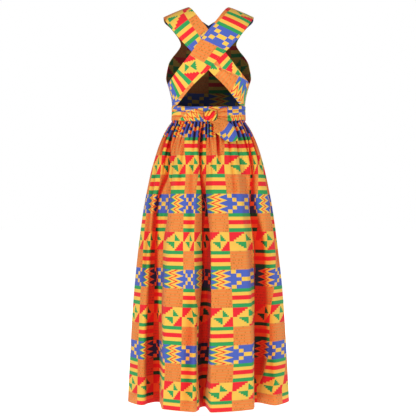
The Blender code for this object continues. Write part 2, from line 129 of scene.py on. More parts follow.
def add(tree, kind, *inputs, **settings):
    """Add a node. Settings are its properties. Inputs fill or link its sockets in order, and None leaves one alone."""
    made = tree.nodes.new(kind)
    for name, value in settings.items():
        setattr(made, name, value)
    for socket, value in zip([s for s in made.inputs if s.enabled], inputs):
        if isinstance(value, bpy.types.Node):
            value = next(s for s in value.outputs if s.enabled)
        if isinstance(value, bpy.types.NodeSocket):
            tree.links.new(value, socket)
        elif value is not None:
            socket.default_value = value
    return made


def calc(tree, operation, *values):
    """Add a math node."""
    return add(tree, "ShaderNodeMath", *values, operation=operation)


def overlaid(tree, share, below, above):
    """Lay one colour over another by a share."""
    return add(tree, "ShaderNodeMix", share, below, above, data_type="RGBA")


DYES = {
    "yellow": linear("#F7C551"),
    "orange": linear("#EC823A"),
    "orange rib": linear("#E3924A"),
    "fleck": linear("#C9782F"),
    "red": linear("#EE2631"),
    "green": linear("#2F9E56"),
    "blue": linear("#4D64BC"),
}
print("dyes:", ", ".join(DYES))

# %% [markdown]
# ## The print
# The cloth is a wax print after woven kente strips. Two columns of blocks repeat side by side, and four rows of blocks
# repeat down the cloth. The blocks are a ribbed orange, bands, a stepped diamond, a zigzag and a blue check.
# Each block is charted in fractions of its own width and height, and a few sums on the cloth's own metres say
# in which block a point lies. So the print is drawn at its real size, and it follows every fold.

# %% The print's chart
STRIP_WIDTH = 0.0915
BLOCK_HEIGHT = 0.0641
COLUMNS, ROWS = 2, 4

Band = namedtuple("Band", "top dye")
BANDS = [Band(0.0, "green"), Band(0.18, "yellow"), Band(0.36, "red"), Band(0.59, "yellow"), Band(0.79, "green")]

# The stepped diamond's upper half: the red corner loses width a step at a time, the green triangle gains it
RED_WIDTH, RED_STEP, RED_LOSS = 0.475, 0.10, 0.84
GREEN_TOP, GREEN_STEP, GREEN_GAIN, GREEN_FOOT = 0.14, 0.085, 0.88, 0.48
DIAMOND_MIDDLE = 0.585

# The zigzag's lines, from left to right: where each lies in a valley and at the tip of a tooth
Line = namedtuple("Line", "valley tip left_dye")
ZIGZAG = [
    Line(0.62, 1.00, "yellow"),
    Line(0.40, 0.76, "red"),
    Line(0.29, 0.64, "yellow"),
    Line(0.14, 0.46, "green"),
    Line(0.05, 0.38, "blue"),
]
FIRST_TIP, TOOTH = 0.02, 0.31

# The check's yellow cells: middle and half size. Up and down alike, so heights are measured from the middle.
Cell = namedtuple("Cell", "across half_width away half_height")
CHECK = [
    Cell(0.530, 0.150, 0.000, 0.110),
    Cell(0.280, 0.085, 0.200, 0.100),
    Cell(0.780, 0.085, 0.200, 0.100),
    Cell(0.090, 0.090, 0.400, 0.100),
    Cell(0.970, 0.080, 0.400, 0.100),
]

RIBS = 6.5
RIB_SHARE = 0.42
FLECKS_ACROSS = 26.0
FLECK_SHARE = 0.72
print("block in millimetres:", STRIP_WIDTH * 1000, "x", BLOCK_HEIGHT * 1000)

# %% [markdown]
# The sums go into nodes. A mask is 1 inside a shape and 0 outside it, and each mask lays its dye over the one before.

# %% The print's nodes
def ribbed_orange(tree, across, down):
    rib = calc(tree, "MULTIPLY", down, RIBS)
    rib = calc(tree, "FRACT", rib)
    thin = calc(tree, "LESS_THAN", rib, RIB_SHARE)
    counts = ((across, FLECKS_ACROSS), (down, RIBS))
    cells = [calc(tree, "MULTIPLY", value, count) for value, count in counts]
    cells = [calc(tree, "FLOOR", cell) for cell in cells]
    chance = add(tree, "ShaderNodeTexWhiteNoise", add(tree, "ShaderNodeCombineXYZ", *cells))
    fleck = calc(tree, "GREATER_THAN", chance, FLECK_SHARE)
    fleck = calc(tree, "MULTIPLY", fleck, thin)
    colour = overlaid(tree, thin, DYES["orange"], DYES["orange rib"])
    return overlaid(tree, fleck, colour, DYES["fleck"])


def bands(tree, down):
    ramp = add(tree, "ShaderNodeValToRGB", down)
    ramp.color_ramp.interpolation = "CONSTANT"
    while len(ramp.color_ramp.elements) < len(BANDS):
        ramp.color_ramp.elements.new(0.5)
    for element, band in zip(ramp.color_ramp.elements, BANDS):
        element.position, element.color = band.top, DYES[band.dye]
    return ramp


def stepped_diamond(tree, across, down):
    left = calc(tree, "MULTIPLY", across, 0.5 / DIAMOND_MIDDLE)
    right = add(tree, "ShaderNodeMapRange", across, DIAMOND_MIDDLE, 1.0, 0.5, 1.0, clamp=False)
    across = calc(tree, "MAXIMUM", left, right)
    lower = calc(tree, "GREATER_THAN", down, 0.5)
    x, y = (calc(tree, "SUBTRACT", lower, value) for value in (across, down))
    x, y = (calc(tree, "ABSOLUTE", value) for value in (x, y))
    fallen = calc(tree, "SNAP", y, RED_STEP)
    edge = calc(tree, "MULTIPLY_ADD", fallen, -RED_LOSS, RED_WIDTH)
    red = calc(tree, "LESS_THAN", x, edge)
    below = calc(tree, "SUBTRACT", y, GREEN_TOP - GREEN_STEP)
    wide = calc(tree, "SNAP", below, GREEN_STEP)
    wide = calc(tree, "MULTIPLY_ADD", wide, GREEN_GAIN, 0.5)
    green = calc(tree, "LESS_THAN", x, wide)
    for limit, value, side in ((0.5, x, "GREATER_THAN"), (GREEN_FOOT, y, "LESS_THAN")):
        inside = calc(tree, side, value, limit)
        green = calc(tree, "MULTIPLY", green, inside)
    colour = overlaid(tree, red, DYES["yellow"], DYES["red"])
    return overlaid(tree, green, colour, DYES["green"])


def zigzag(tree, across, down):
    place = calc(tree, "MULTIPLY_ADD", down, 1 / TOOTH, -FIRST_TIP / TOOTH)
    place = calc(tree, "FRACT", place)
    tip = calc(tree, "MULTIPLY_ADD", place, 2.0, -1.0)
    tip = calc(tree, "ABSOLUTE", tip)
    colour = DYES["blue"]
    for line in ZIGZAG:
        edge = calc(tree, "MULTIPLY_ADD", tip, line.tip - line.valley, line.valley)
        left = calc(tree, "LESS_THAN", across, edge)
        colour = overlaid(tree, left, colour, DYES[line.left_dye])
    return colour


def blue_check(tree, across, down):
    away = calc(tree, "SUBTRACT", down, 0.5)
    away = calc(tree, "ABSOLUTE", away)
    colour = DYES["blue"]
    for cell in CHECK:
        beside = calc(tree, "COMPARE", across, cell.across, cell.half_width)
        level = calc(tree, "COMPARE", away, cell.away, cell.half_height)
        inside = calc(tree, "MULTIPLY", beside, level)
        colour = overlaid(tree, inside, colour, DYES["yellow"])
    return colour


def printed_colour(tree, cloth_metres):
    """The colour of the print at a place on the cloth, given as metres across and down it."""
    place = add(tree, "ShaderNodeSeparateXYZ", cloth_metres)
    strips = calc(tree, "MULTIPLY", place.outputs["X"], 1 / STRIP_WIDTH)
    blocks = calc(tree, "MULTIPLY", place.outputs["Y"], 1 / BLOCK_HEIGHT)
    across = calc(tree, "FRACT", strips)
    down = calc(tree, "FRACT", blocks)
    column = calc(tree, "FLOORED_MODULO", strips, COLUMNS)
    column = calc(tree, "FLOOR", column)
    row = calc(tree, "FLOORED_MODULO", blocks, ROWS)
    row = calc(tree, "FLOOR", row)

    # Rows 0 and 2 change places between the two columns: bands where the sum is odd, and ribs where it is even
    turn = calc(tree, "MULTIPLY_ADD", row, 0.5, column)
    banded = calc(tree, "COMPARE", turn, 1.0, 0.1)
    ribs = ribbed_orange(tree, across, down)
    colour = overlaid(tree, banded, ribs, bands(tree, down))
    teeth, check = zigzag(tree, across, down), blue_check(tree, across, down)
    last_row = overlaid(tree, column, teeth, check)
    for number, block in ((1, stepped_diamond(tree, across, down)), (ROWS - 1, last_row)):
        here = calc(tree, "COMPARE", row, number, 0.1)
        colour = overlaid(tree, here, colour, block)
    return colour


print("the print repeats every", round(COLUMNS * STRIP_WIDTH, 3), "by", round(ROWS * BLOCK_HEIGHT, 3), "metres")

# %% [markdown]
# ## Printed cotton
# Wax-printed cotton is a plain weave of fine thread, pressed and slightly stiff. It is matt, with a faint soft sheen at
# a glancing angle. The dye goes in from the face, so the reverse of the cloth shows the same print, a little duller;
# its much darker colour here is painted shade, for the inside of the dress that lies in shadow. Both sides also get
# painted shade, darker and redder, where the cloth lies deep in a fold.
# The real thread is 0.3 mm apart, too fine for the picture, so the weave in the bump is drawn at 1.6 mm.

# %% Printed cotton
THREAD = 0.0016
WEAVE_DEPTH = 0.00012
SLUB_SCALE = 420.0
MOTTLE_SCALE = 26.0
MOTTLE_FROM, MOTTLE_TO = 0.3, 0.7
WORN_DARKEST, WORN_LIGHTEST = 0.96, 1.02
COTTON_ROUGHNESS = 0.82
COTTON_SPECULAR = 0.25
SHEEN, SHEEN_ROUGHNESS = 0.06, 0.5
REVERSE_DULLING_AND_PAINTED_SHADE = 0.17
PAINTED_FOLD_SHADE_COLOUR = (0.84, 0.085, 0.058, 1.0)
PAINTED_FOLD_SHADE_CONTRAST = 0.40


def printed_cotton(name, tint_and_painted_shade):
    """Plain-woven cotton with the print on it: dull, evenly rough, a little mottled by washing and wear, with painted
    fold shade.
    """
    material = bpy.data.materials.new(name)
    material.use_nodes = True
    tree = material.node_tree
    shader = tree.nodes["Principled BSDF"]
    shader.inputs["Roughness"].default_value = COTTON_ROUGHNESS
    shader.inputs["Specular IOR Level"].default_value = COTTON_SPECULAR
    shader.inputs["Sheen Weight"].default_value = SHEEN
    shader.inputs["Sheen Roughness"].default_value = SHEEN_ROUGHNESS

    cloth_metres = add(tree, "ShaderNodeUVMap", uv_map="Cloth")
    place = add(tree, "ShaderNodeTexCoord").outputs["Object"]
    mottle = add(tree, "ShaderNodeTexNoise", place, MOTTLE_SCALE, 3.0)
    ends = (MOTTLE_FROM, MOTTLE_TO, tint_and_painted_shade * WORN_DARKEST, tint_and_painted_shade * WORN_LIGHTEST)
    wear_and_painted_shade = add(tree, "ShaderNodeMapRange", mottle, *ends)
    colour = printed_colour(tree, cloth_metres)
    colour = add(tree, "ShaderNodeVectorMath", colour, wear_and_painted_shade, operation="SCALE")
    # Painted shade: the fold attribute, high deep in laps, creases, gathers and the sash's folds, raises the colour to
    # a higher power and multiplies it by a dark red.
    painted_fold_shade = add(tree, "ShaderNodeAttribute", attribute_name="fold").outputs["Fac"]
    depth = calc(tree, "MULTIPLY_ADD", painted_fold_shade, PAINTED_FOLD_SHADE_CONTRAST, 1.0)
    colour = add(tree, "ShaderNodeGamma", colour, depth)
    light = overlaid(tree, painted_fold_shade, (1.0, 1.0, 1.0, 1.0), PAINTED_FOLD_SHADE_COLOUR)
    colour = add(tree, "ShaderNodeVectorMath", colour, light, operation="MULTIPLY")
    tree.links.new(colour.outputs[0], shader.inputs["Base Color"])

    metres = add(tree, "ShaderNodeSeparateXYZ", cloth_metres)
    turns = [calc(tree, "MULTIPLY", metres.outputs[way], 2 * math.pi / THREAD) for way in "XY"]
    threads = [calc(tree, "SINE", turn) for turn in turns]
    weave = calc(tree, "MULTIPLY", *threads)
    slub = add(tree, "ShaderNodeTexNoise", place, SLUB_SCALE, 2.0)
    height = calc(tree, "MULTIPLY_ADD", weave, 0.5, slub)
    bump = add(tree, "ShaderNodeBump", 0.5, WEAVE_DEPTH)
    tree.links.new(height.outputs[0], bump.inputs["Height"])
    tree.links.new(bump.outputs["Normal"], shader.inputs["Normal"])
    return material


FACE = printed_cotton("wax-printed cotton, face", 1.0)
# Painted shade: the reverse is darkened far more than its dye would make it, for the shadowed inside of the dress.
REVERSE = printed_cotton("wax-printed cotton, reverse", REVERSE_DULLING_AND_PAINTED_SHADE)
print("materials:", FACE.name, "|", REVERSE.name)

# %% [markdown]
# The floor is a plain white studio floor with a matt surface. Sewing thread is spun polyester, smooth and a little
# glossy, and dyed to the orange of the cloth.

# %% Floor and thread
FLOOR_GLOW = 0.78
FLOOR_ROUGHNESS = 0.9
THREAD_ROUGHNESS = 0.45
UNEVEN_DARKEST = 0.97


def plain_finish(name, colour, roughness):
    """A smooth finish of one dye, with a faint unevenness."""
    material = bpy.data.materials.new(name)
    material.use_nodes = True
    tree = material.node_tree
    shader = tree.nodes["Principled BSDF"]
    shader.inputs["Roughness"].default_value = roughness
    place = add(tree, "ShaderNodeTexCoord").outputs["Object"]
    uneven = add(tree, "ShaderNodeTexNoise", place, MOTTLE_SCALE, 2.0)
    shade = add(tree, "ShaderNodeMapRange", uneven, MOTTLE_FROM, MOTTLE_TO, UNEVEN_DARKEST, 1.0)
    tinted = add(tree, "ShaderNodeVectorMath", linear(colour)[:3], shade, operation="SCALE")
    tree.links.new(tinted.outputs[0], shader.inputs["Base Color"])
    return material


FLOOR = plain_finish("matt white studio floor", "#F8F8F8", FLOOR_ROUGHNESS)
FLOOR.node_tree.nodes["Principled BSDF"].inputs["Emission Color"].default_value = (1, 1, 1, 1)
FLOOR.node_tree.nodes["Principled BSDF"].inputs["Emission Strength"].default_value = FLOOR_GLOW
THREAD_FINISH = plain_finish("spun polyester thread", "#E08A3C", THREAD_ROUGHNESS)
floor.data.materials.append(FLOOR)
print("materials:", FLOOR.name, "|", THREAD_FINISH.name)

# %% [markdown]
# ## Tools for cloth
# Every piece below is worked out as rows of points, from its lower edge up. A table is read on a smooth curve through
# its rows, so a few named sizes give a form.

# %% Tables and curves
def through(table, column, x):
    """Read a column of a table at x, on a smooth curve through its rows."""
    keys = [row[0] for row in table]
    values = [getattr(row, column) for row in table]
    if x <= keys[0]:
        return values[0]
    if x >= keys[-1]:
        return values[-1]
    i = max(k for k in range(len(keys) - 1) if keys[k] <= x)
    slopes = []
    for k in (i, i + 1):
        before, after = max(k - 1, 0), min(k + 1, len(keys) - 1)
        slopes.append((values[after] - values[before]) / (keys[after] - keys[before]))
    span = keys[i + 1] - keys[i]
    t = (x - keys[i]) / span
    start = values[i] * (1 + 2 * t) * (1 - t) ** 2 + slopes[0] * span * t * (1 - t) ** 2
    end = values[i + 1] * t * t * (3 - 2 * t) + slopes[1] * span * t * t * (t - 1)
    return start + end


def blend(a, b, t):
    return a + (b - a) * t


def ease(t):
    t = np.clip(t, 0.0, 1.0)
    return t * t * (3 - 2 * t)


def catmull(a, b, c, d, t):
    """A smooth value between b and c."""
    return b + 0.5 * t * ((c - a) + (2 * a - 5 * b + 4 * c - d) * t + (3 * b - a - 3 * c + d) * t * t)


print("half way up an ease:", float(ease(0.5)))

# %% [markdown]
# Real cloth has creases of uneven length, depth and spacing. Each crease here is given as a line on the cloth,
# in its own metres across and down, with a depth and a width. A trough goes in and a ridge comes out, along the way
# that the cloth faces.

# %% Creases
Crease = namedtuple("Crease", "start_across start_down end_across end_down height width")
FADED_ENDS = 4


def way_out(points, closed):
    """The way that the cloth faces at each point."""
    if closed:
        across = np.roll(points, -1, axis=1) - np.roll(points, 1, axis=1)
    else:
        across = np.gradient(points, axis=1)
    normals = np.cross(across, np.gradient(points, axis=0))
    return normals / np.linalg.norm(normals, axis=2, keepdims=True)


def crease_heights(metres, creases, girth=None):
    """How far the creases move the cloth at each place. Girth is the way round a closed piece."""
    heights = np.zeros(metres.shape[:2])
    for crease in creases:
        along = np.array([crease.end_across - crease.start_across, crease.end_down - crease.start_down])
        away = metres - np.array([crease.start_across, crease.start_down])
        if girth:
            away[..., 0] = (away[..., 0] + girth / 2) % girth - girth / 2
        t = np.clip((away @ along) / (along @ along), 0.0, 1.0)
        distance = np.linalg.norm(away - t[..., None] * along, axis=2)
        fade = ease(FADED_ENDS * t) * ease(FADED_ENDS * (1 - t))
        heights += crease.height * fade * np.exp(-((distance / crease.width) ** 2))
    return heights


def creased(points, metres, creases, closed=False, girth=None):
    moved = crease_heights(metres, creases, girth)
    return points + way_out(points, closed) * moved[..., None]


print("a crease's columns:", ", ".join(Crease._fields))

# %% [markdown]
# The print doesn't run the same way on every piece, because each is cut from the cloth at its own slant. Lay says how
# a piece was laid on the cloth: turned by some degrees, shifted, stretched a little on the bias, pulled aslant, and
# drawn together across. The lays below put blocks about where the photograph shows them. A separate script worked them
# out from pixel places that were read by eye, and then they were moved by hand.

# %% Laying a piece on the cloth
Lay = namedtuple("Lay", "turn across down stretch slant drawn", defaults=(1.0, 0.0, 1.0))


def laid(metres, lay):
    """The print's own metres for each place on a piece."""
    turn = math.radians(lay.turn)
    across = metres[..., 0] * math.cos(turn) - metres[..., 1] * math.sin(turn)
    down = metres[..., 0] * math.sin(turn) + metres[..., 1] * math.cos(turn)
    pulled = lay.slant * metres[..., 0]
    across = across * lay.drawn / lay.stretch
    return np.stack((across + lay.across, down / lay.stretch + pulled + lay.down), axis=2)


Layer = namedtuple("Layer", "across down way lay")


def laid_in_layers(metres, layers, hand=1):
    """The print on a folded piece: beyond each fold line another part of the cloth shows.

    A layer starts at a line through a point, and goes the way that an angle gives: 0 across, 90 down. Hand is -1 for
    a piece that runs to the left.
    """
    print_metres = np.zeros_like(metres)
    for layer in layers:
        way = math.radians(layer.way)
        beyond = (metres[..., 0] - layer.across) * math.cos(way) + (metres[..., 1] - layer.down) * math.sin(way)
        print_metres[beyond >= 0] = laid(metres * np.array([hand, 1]), layer.lay)[beyond >= 0]
    return print_metres


print("laid straight:", laid(np.zeros((1, 1, 2)), Lay(0, 0, 0)).tolist())

# %% [markdown]
# A shell is the grid of points with a wall on the side that it faces. Solidify makes the wall and closes the edges, and
# its material offset puts the reverse of the cloth on the inner side, duller and darkened with painted shade. Then the
# modifiers are turned into a plain mesh, so the piece is finished.

# %% Shells of cloth
CLOTH = 0.0011


def made_plain(piece):
    """Turn a piece with its modifiers into a plain mesh."""
    evaluated = piece.evaluated_get(bpy.context.evaluated_depsgraph_get())
    mesh = bpy.data.meshes.new_from_object(evaluated)
    piece.modifiers.clear()
    piece.data = mesh
    mesh.name = piece.name
    return piece


def open_cloth(name, points, metres, closed=False, shade=None):
    """A grid of points as an open surface. Metres has one more column than a closed grid, for the seam."""
    rows, columns = points.shape[:2]
    row, column = np.mgrid[0 : rows - 1, 0 : columns if closed else columns - 1]
    row, column = row.ravel(), column.ravel()
    after = (column + 1) % columns
    upper = row + 1
    faces = (row * columns + column, row * columns + after, upper * columns + after, upper * columns + column)
    mesh = bpy.data.meshes.new(name)
    mesh.from_pydata(points.reshape(-1, 3).tolist(), [], np.stack(faces, axis=1).tolist())
    beside = column + 1
    corners = (metres[row, column], metres[row, beside], metres[upper, beside], metres[upper, column])
    mesh.uv_layers.new(name="Cloth").data.foreach_set("uv", np.stack(corners, axis=1).ravel())
    # Shade, if given, is painted shade: it is kept as the fold attribute, and the finish darkens the colour by it.
    if shade is not None:
        mesh.attributes.new("fold", "FLOAT", "POINT").data.foreach_set("value", shade.ravel())
    mesh.shade_smooth()
    mesh.materials.append(FACE)
    mesh.materials.append(REVERSE)
    piece = bpy.data.objects.new(name, mesh)
    scene.collection.objects.link(piece)
    return piece


def walled(piece, thickness=CLOTH, inward=False):
    wall = piece.modifiers.new("Cloth wall", "SOLIDIFY")
    wall.thickness = thickness
    wall.offset = -1 if inward else 1
    wall.use_quality_normals = True
    wall.material_offset = 1
    made_plain(piece)
    print(piece.name, "has", len(piece.data.polygons), "faces")
    return piece


# %% [markdown]
# ## The worn form
# The dress keeps the form of the wearer. Above the waist this is a table of half widths and depths by height, and the
# cloth turns over a rounded ridge at each shoulder.

# %% The worn form
WALL = 0.0015
SEAM_GAP = 0.0003
LAYER = WALL + SEAM_GAP

SHOULDER_INNER_X = 0.075
SHOULDER_OUTER_X = 0.161
SHOULDER_INNER_Z = 0.022
SHOULDER_OUTER_Z = -0.014
SHOULDER_ROUND = 0.070
SHOULDER_SEAM_TURN = 20.0
SEAM_TURN = 0.15
RIDGE_SLOPE = (SHOULDER_OUTER_Z - SHOULDER_INNER_Z) / (SHOULDER_OUTER_X - SHOULDER_INNER_X)

BAND_TOP = -0.333
BAND_HEIGHT = 0.052
BACK_SAG = 0.009
SAG_SIDE = 0.375
SAG_FADE = 0.25
HEM_Z = -1.379
SIDE_ANGLE = 89.9
ARMHOLE_Z = -0.2545

Form = namedtuple("Form", "z half_width front back")
FORM = [
    Form(-0.440, 0.1310, 0.0945, 0.0925),
    Form(-0.385, 0.1300, 0.0940, 0.0920),
    Form(-0.360, 0.1287, 0.0935, 0.0910),
    Form(-0.333, 0.1290, 0.0950, 0.0900),
    Form(-0.306, 0.1320, 0.1030, 0.0915),
    Form(-0.284, 0.1370, 0.1120, 0.0940),
    Form(-0.254, 0.1455, 0.1220, 0.0970),
    Form(-0.220, 0.1580, 0.1230, 0.0995),
    Form(-0.180, 0.1615, 0.1150, 0.1015),
    Form(-0.130, 0.1660, 0.0990, 0.1020),
    Form(-0.080, 0.1770, 0.0840, 0.1000),
    Form(-0.030, 0.1880, 0.0740, 0.0920),
    Form(0.018, 0.1900, 0.0700, 0.0850),
    Form(0.060, 0.1900, 0.0700, 0.0850),
]

BUST_X = 0.072
BUST_Z = -0.222
BUST_RADIUS = 0.058
BUST_RISE = 0.010


def ridge(x):
    """Height of the shoulder ridge at x."""
    return SHOULDER_INNER_Z + RIDGE_SLOPE * (x - SHOULDER_INNER_X)


def drop_of(turn):
    """How far below the ridge the cloth is after turning over it by an angle in degrees."""
    if turn <= 90:
        return SHOULDER_ROUND * (1 - math.cos(math.radians(turn)))
    return SHOULDER_ROUND * (1 + math.radians(turn - 90))


def turn_of(drop):
    """The angle that belongs to a drop, the other way round."""
    if drop <= SHOULDER_ROUND:
        return math.degrees(math.acos(1 - max(drop, 0.0) / SHOULDER_ROUND))
    return 90 + math.degrees(drop / SHOULDER_ROUND - 1)


def rise(turn):
    return math.sin(math.radians(min(turn, 90.0)))


def bust(x, z):
    """How far the front stands out over the bust."""
    across, up = (abs(x) - BUST_X) / BUST_RADIUS, (z - BUST_Z) / BUST_RADIUS
    return BUST_RISE * math.exp(-across * across - up * up)


def worn_front(angle, z, ridge_z):
    """A point on the front of the worn form. The angle goes from the centre front to the side."""
    across = through(FORM, "half_width", z) * math.sin(math.radians(angle))
    depth = through(FORM, "front", z) * math.cos(math.radians(angle))
    return (across, depth * rise(turn_of(ridge_z - z)) + bust(across, z), z)


def worn_back(x, z, turn):
    """A point on the back of the worn form. A turn below zero lies on the front of the shoulder."""
    share = min(1.0, abs(x) / through(FORM, "half_width", z))
    depth = through(FORM, "back" if turn >= 0 else "front", z) * math.sqrt(1 - share * share)
    return Vector((x, -math.copysign(1, turn) * depth * rise(abs(turn)), z))


def waist_point(angle, z, out=0.0):
    """A point on the worn form at the waist, all round, moved out."""
    behind = math.cos(math.radians(angle)) > 0
    half_width = through(FORM, "half_width", z)
    half_depth = through(FORM, "back" if behind else "front", z)
    across, along = math.sin(math.radians(angle)), -math.cos(math.radians(angle))
    normal = Vector((across / half_width, along / half_depth, 0)).normalized()
    return Vector((half_width * across, half_depth * along, z)) + normal * out


def band_dip(angle):
    """The waist keeps its height where the straps are sewn on, and sags between them."""
    middle = max(0.0, math.cos(math.radians(angle)))
    return BACK_SAG * float(ease((middle - SAG_SIDE) / (1 - SAG_SIDE)))


waist_z = BAND_TOP - BAND_HEIGHT
waist_half_sizes = through(FORM, "half_width", waist_z) + through(FORM, "back", waist_z)
print("waist in metres round, about:", round(math.pi * waist_half_sizes, 2))

# %% [markdown]
# ## The skirt
# The skirt is one tube of cloth, as wide at the waist as at the hem, and drawn together into the waistband. Its outline
# comes from a table of drops below the waist. Eight large folds hang from the gathers, and each goes in the way that a
# table gives, so that it shows as in the photograph from behind and in a like way from the other sides.
# The columns of the grid share the hem evenly, so they are also the metres across the cloth.

# %% The skirt's sizes
Level = namedtuple("Level", "drop half_width half_depth roundness")
SKIRT_LEVELS = [
    Level(0.000, 0.1300, 0.0930, 2.00),
    Level(0.004, 0.1300, 0.0930, 2.00),
    Level(0.029, 0.1470, 0.1070, 1.98),
    Level(0.050, 0.1590, 0.1160, 1.95),
    Level(0.093, 0.1780, 0.1290, 1.90),
    Level(0.157, 0.1990, 0.1440, 1.85),
    Level(0.243, 0.2190, 0.1600, 1.80),
    Level(0.329, 0.2350, 0.1730, 1.75),
    Level(0.500, 0.2575, 0.1930, 1.70),
    Level(0.671, 0.2735, 0.2080, 1.66),
    Level(0.843, 0.2840, 0.2190, 1.63),
    Level(0.994, 0.2925, 0.2260, 1.60),
]

Fold = namedtuple("Fold", "hem_angle left right depth aim")
FOLDS = [
    Fold(-48.5, 0.080, 0.026, 0.100, 88.0),
    Fold(-3.0, 0.042, 0.022, 0.094, 90.0),
    Fold(46.5, 0.024, 0.085, 0.098, 92.0),
    Fold(96.0, 0.055, 0.045, 0.046, 178.0),
    Fold(130.0, 0.050, 0.060, 0.074, 250.0),
    Fold(172.0, 0.042, 0.050, 0.072, 270.0),
    Fold(222.0, 0.062, 0.044, 0.086, 288.0),
    Fold(263.0, 0.044, 0.058, 0.048, 2.0),
]
FOLD_PERIMETER_RADIUS = 0.235
FOLD_SPREAD = 0.36
FOLD_START = 0.05
FOLD_GROWTH = 0.62
HEM_SAMPLES = 1440
CENTRE_BACK_TOP_ANGLE = -7.0
SKIRT_LENGTH = BAND_TOP - BAND_HEIGHT - SEAM_GAP - HEM_Z

PUCKERS = 48
COLUMNS_PER_PUCKER = 15
SKIRT_ROWS = 62
ROW_CROWDING = 1.7
print("skirt length in metres:", round(SKIRT_LENGTH, 4))

# %% [markdown]
# The same sums as for the solid, on a finer grid. Rows stand closer at the waist, where the gathers are.

# %% The skirt's form
def fold_vectors(angles):
    """The whole displacement of the hem at each angle."""
    total = np.zeros((len(angles), 2))
    for fold in FOLDS:
        away = (angles - fold.hem_angle + 180) % 360 - 180
        distance = np.radians(away) * FOLD_PERIMETER_RADIUS
        share = np.clip(distance / np.where(distance > 0, fold.right, fold.left), -1, 1)
        reach = fold.depth * np.cos(share * math.pi / 2) ** 2
        aim = math.radians(fold.aim)
        total += reach[:, None] * np.array([math.cos(aim), math.sin(aim)])
    return total


def skirt_level(drop):
    """Half width, half depth and roundness of the skirt's outline at a drop."""
    return [through(SKIRT_LEVELS, column, drop) for column in Level._fields[1:]]


def oval(angles, level):
    """Points of the skirt's outline in the direction of each angle."""
    half_width, half_depth, roundness = level
    ways = np.stack((np.sin(np.radians(angles)), -np.cos(np.radians(angles))), axis=1)
    size = (np.abs(ways) / np.array([half_width, half_depth])) ** roundness
    return ways / (size.sum(axis=1) ** (1 / roundness))[:, None]


def hem_columns(count):
    """Angles that share the folded hem's length evenly, and the hem's length."""
    angles = np.linspace(-180, 180, HEM_SAMPLES + 1)
    points = oval(angles, SKIRT_LEVELS[-1][1:]) + fold_vectors(angles)
    lengths = np.concatenate(([0.0], np.cumsum(np.linalg.norm(np.diff(points, axis=0), axis=1))))
    return np.interp(lengths[-1] * np.arange(count) / count, lengths, angles), lengths[-1]


skirt_columns = PUCKERS * COLUMNS_PER_PUCKER
hem_angles, hem_length = hem_columns(skirt_columns)
centre = int(np.argmin(np.abs(hem_angles - FOLDS[1].hem_angle)))
top_angles = CENTRE_BACK_TOP_ANGLE + 360 * (np.arange(skirt_columns) - centre) / skirt_columns
fold_shape = fold_vectors(hem_angles)

skirt_shares = np.linspace(0, 1, SKIRT_ROWS + 1)[::-1] ** ROW_CROWDING
skirt_rows = []
for share in skirt_shares:
    drop = share * SKIRT_LENGTH
    level = skirt_level(drop)
    angles = blend(top_angles, hem_angles, share**FOLD_SPREAD)
    depth = FOLD_START + (1 - FOLD_START) * share**FOLD_GROWTH if share else 0.0
    base = oval(angles, level)
    waist_angles = np.degrees(np.arctan2(base[:, 0] / level[0], -base[:, 1] / level[1]))
    sag = np.array([band_dip(a) for a in waist_angles]) * (1 - ease(share / SAG_FADE))
    height = BAND_TOP - BAND_HEIGHT - SEAM_GAP - sag - drop
    skirt_rows.append(np.column_stack((base + fold_shape * depth, height)))
skirt_points = np.array(skirt_rows)
print("hem in metres round:", round(hem_length, 3), "grid:", skirt_points.shape)

# %% [markdown]
# The print's rows were read by eye as pixel rows down the centre back, turned into drops below the waist by a separate
# script, and then moved by hand. They are not quite even, because the cloth slants a little there.
# The blocks' columns are counted from the right-hand crest of the centre-back fold, and the tube is closed by a seam
# at the wearer's left side, deep in a fold.

# %% The skirt's print
PrintRow = namedtuple("PrintRow", "drop row")
PRINT_ROWS = [
    PrintRow(-0.0010, -0.930),
    PrintRow(0.0577, 0.0),
    PrintRow(0.1239, 1.0),
    PrintRow(0.1920, 2.0),
    PrintRow(0.2613, 3.0),
    PrintRow(0.3277, 4.0),
    PrintRow(0.7734, 11.0),
    PrintRow(0.8351, 12.0),
    PrintRow(0.8963, 13.0),
    PrintRow(0.9566, 14.0),
    PrintRow(0.9950, 14.63),
]
FIRST_STRIP_ANGLE = 2.2
SIDE_SEAM_ANGLE = -97.0

columns_across = np.arange(skirt_columns + 1) * hem_length / skirt_columns
first_strip = np.interp(FIRST_STRIP_ANGLE, hem_angles, columns_across[:-1])
seam = int(np.argmin(np.abs(hem_angles - SIDE_SEAM_ANGLE)))
skirt_points = np.roll(skirt_points, -seam, axis=1)
skirt_across = columns_across + columns_across[seam] - first_strip
skirt_drops = skirt_shares * SKIRT_LENGTH
skirt_down = np.array([through(PRINT_ROWS, "row", drop) for drop in skirt_drops]) * BLOCK_HEIGHT
skirt_cloth = np.stack(np.meshgrid(skirt_across[:-1], skirt_drops), axis=2)
print("strips round the skirt:", round(hem_length / STRIP_WIDTH, 2))
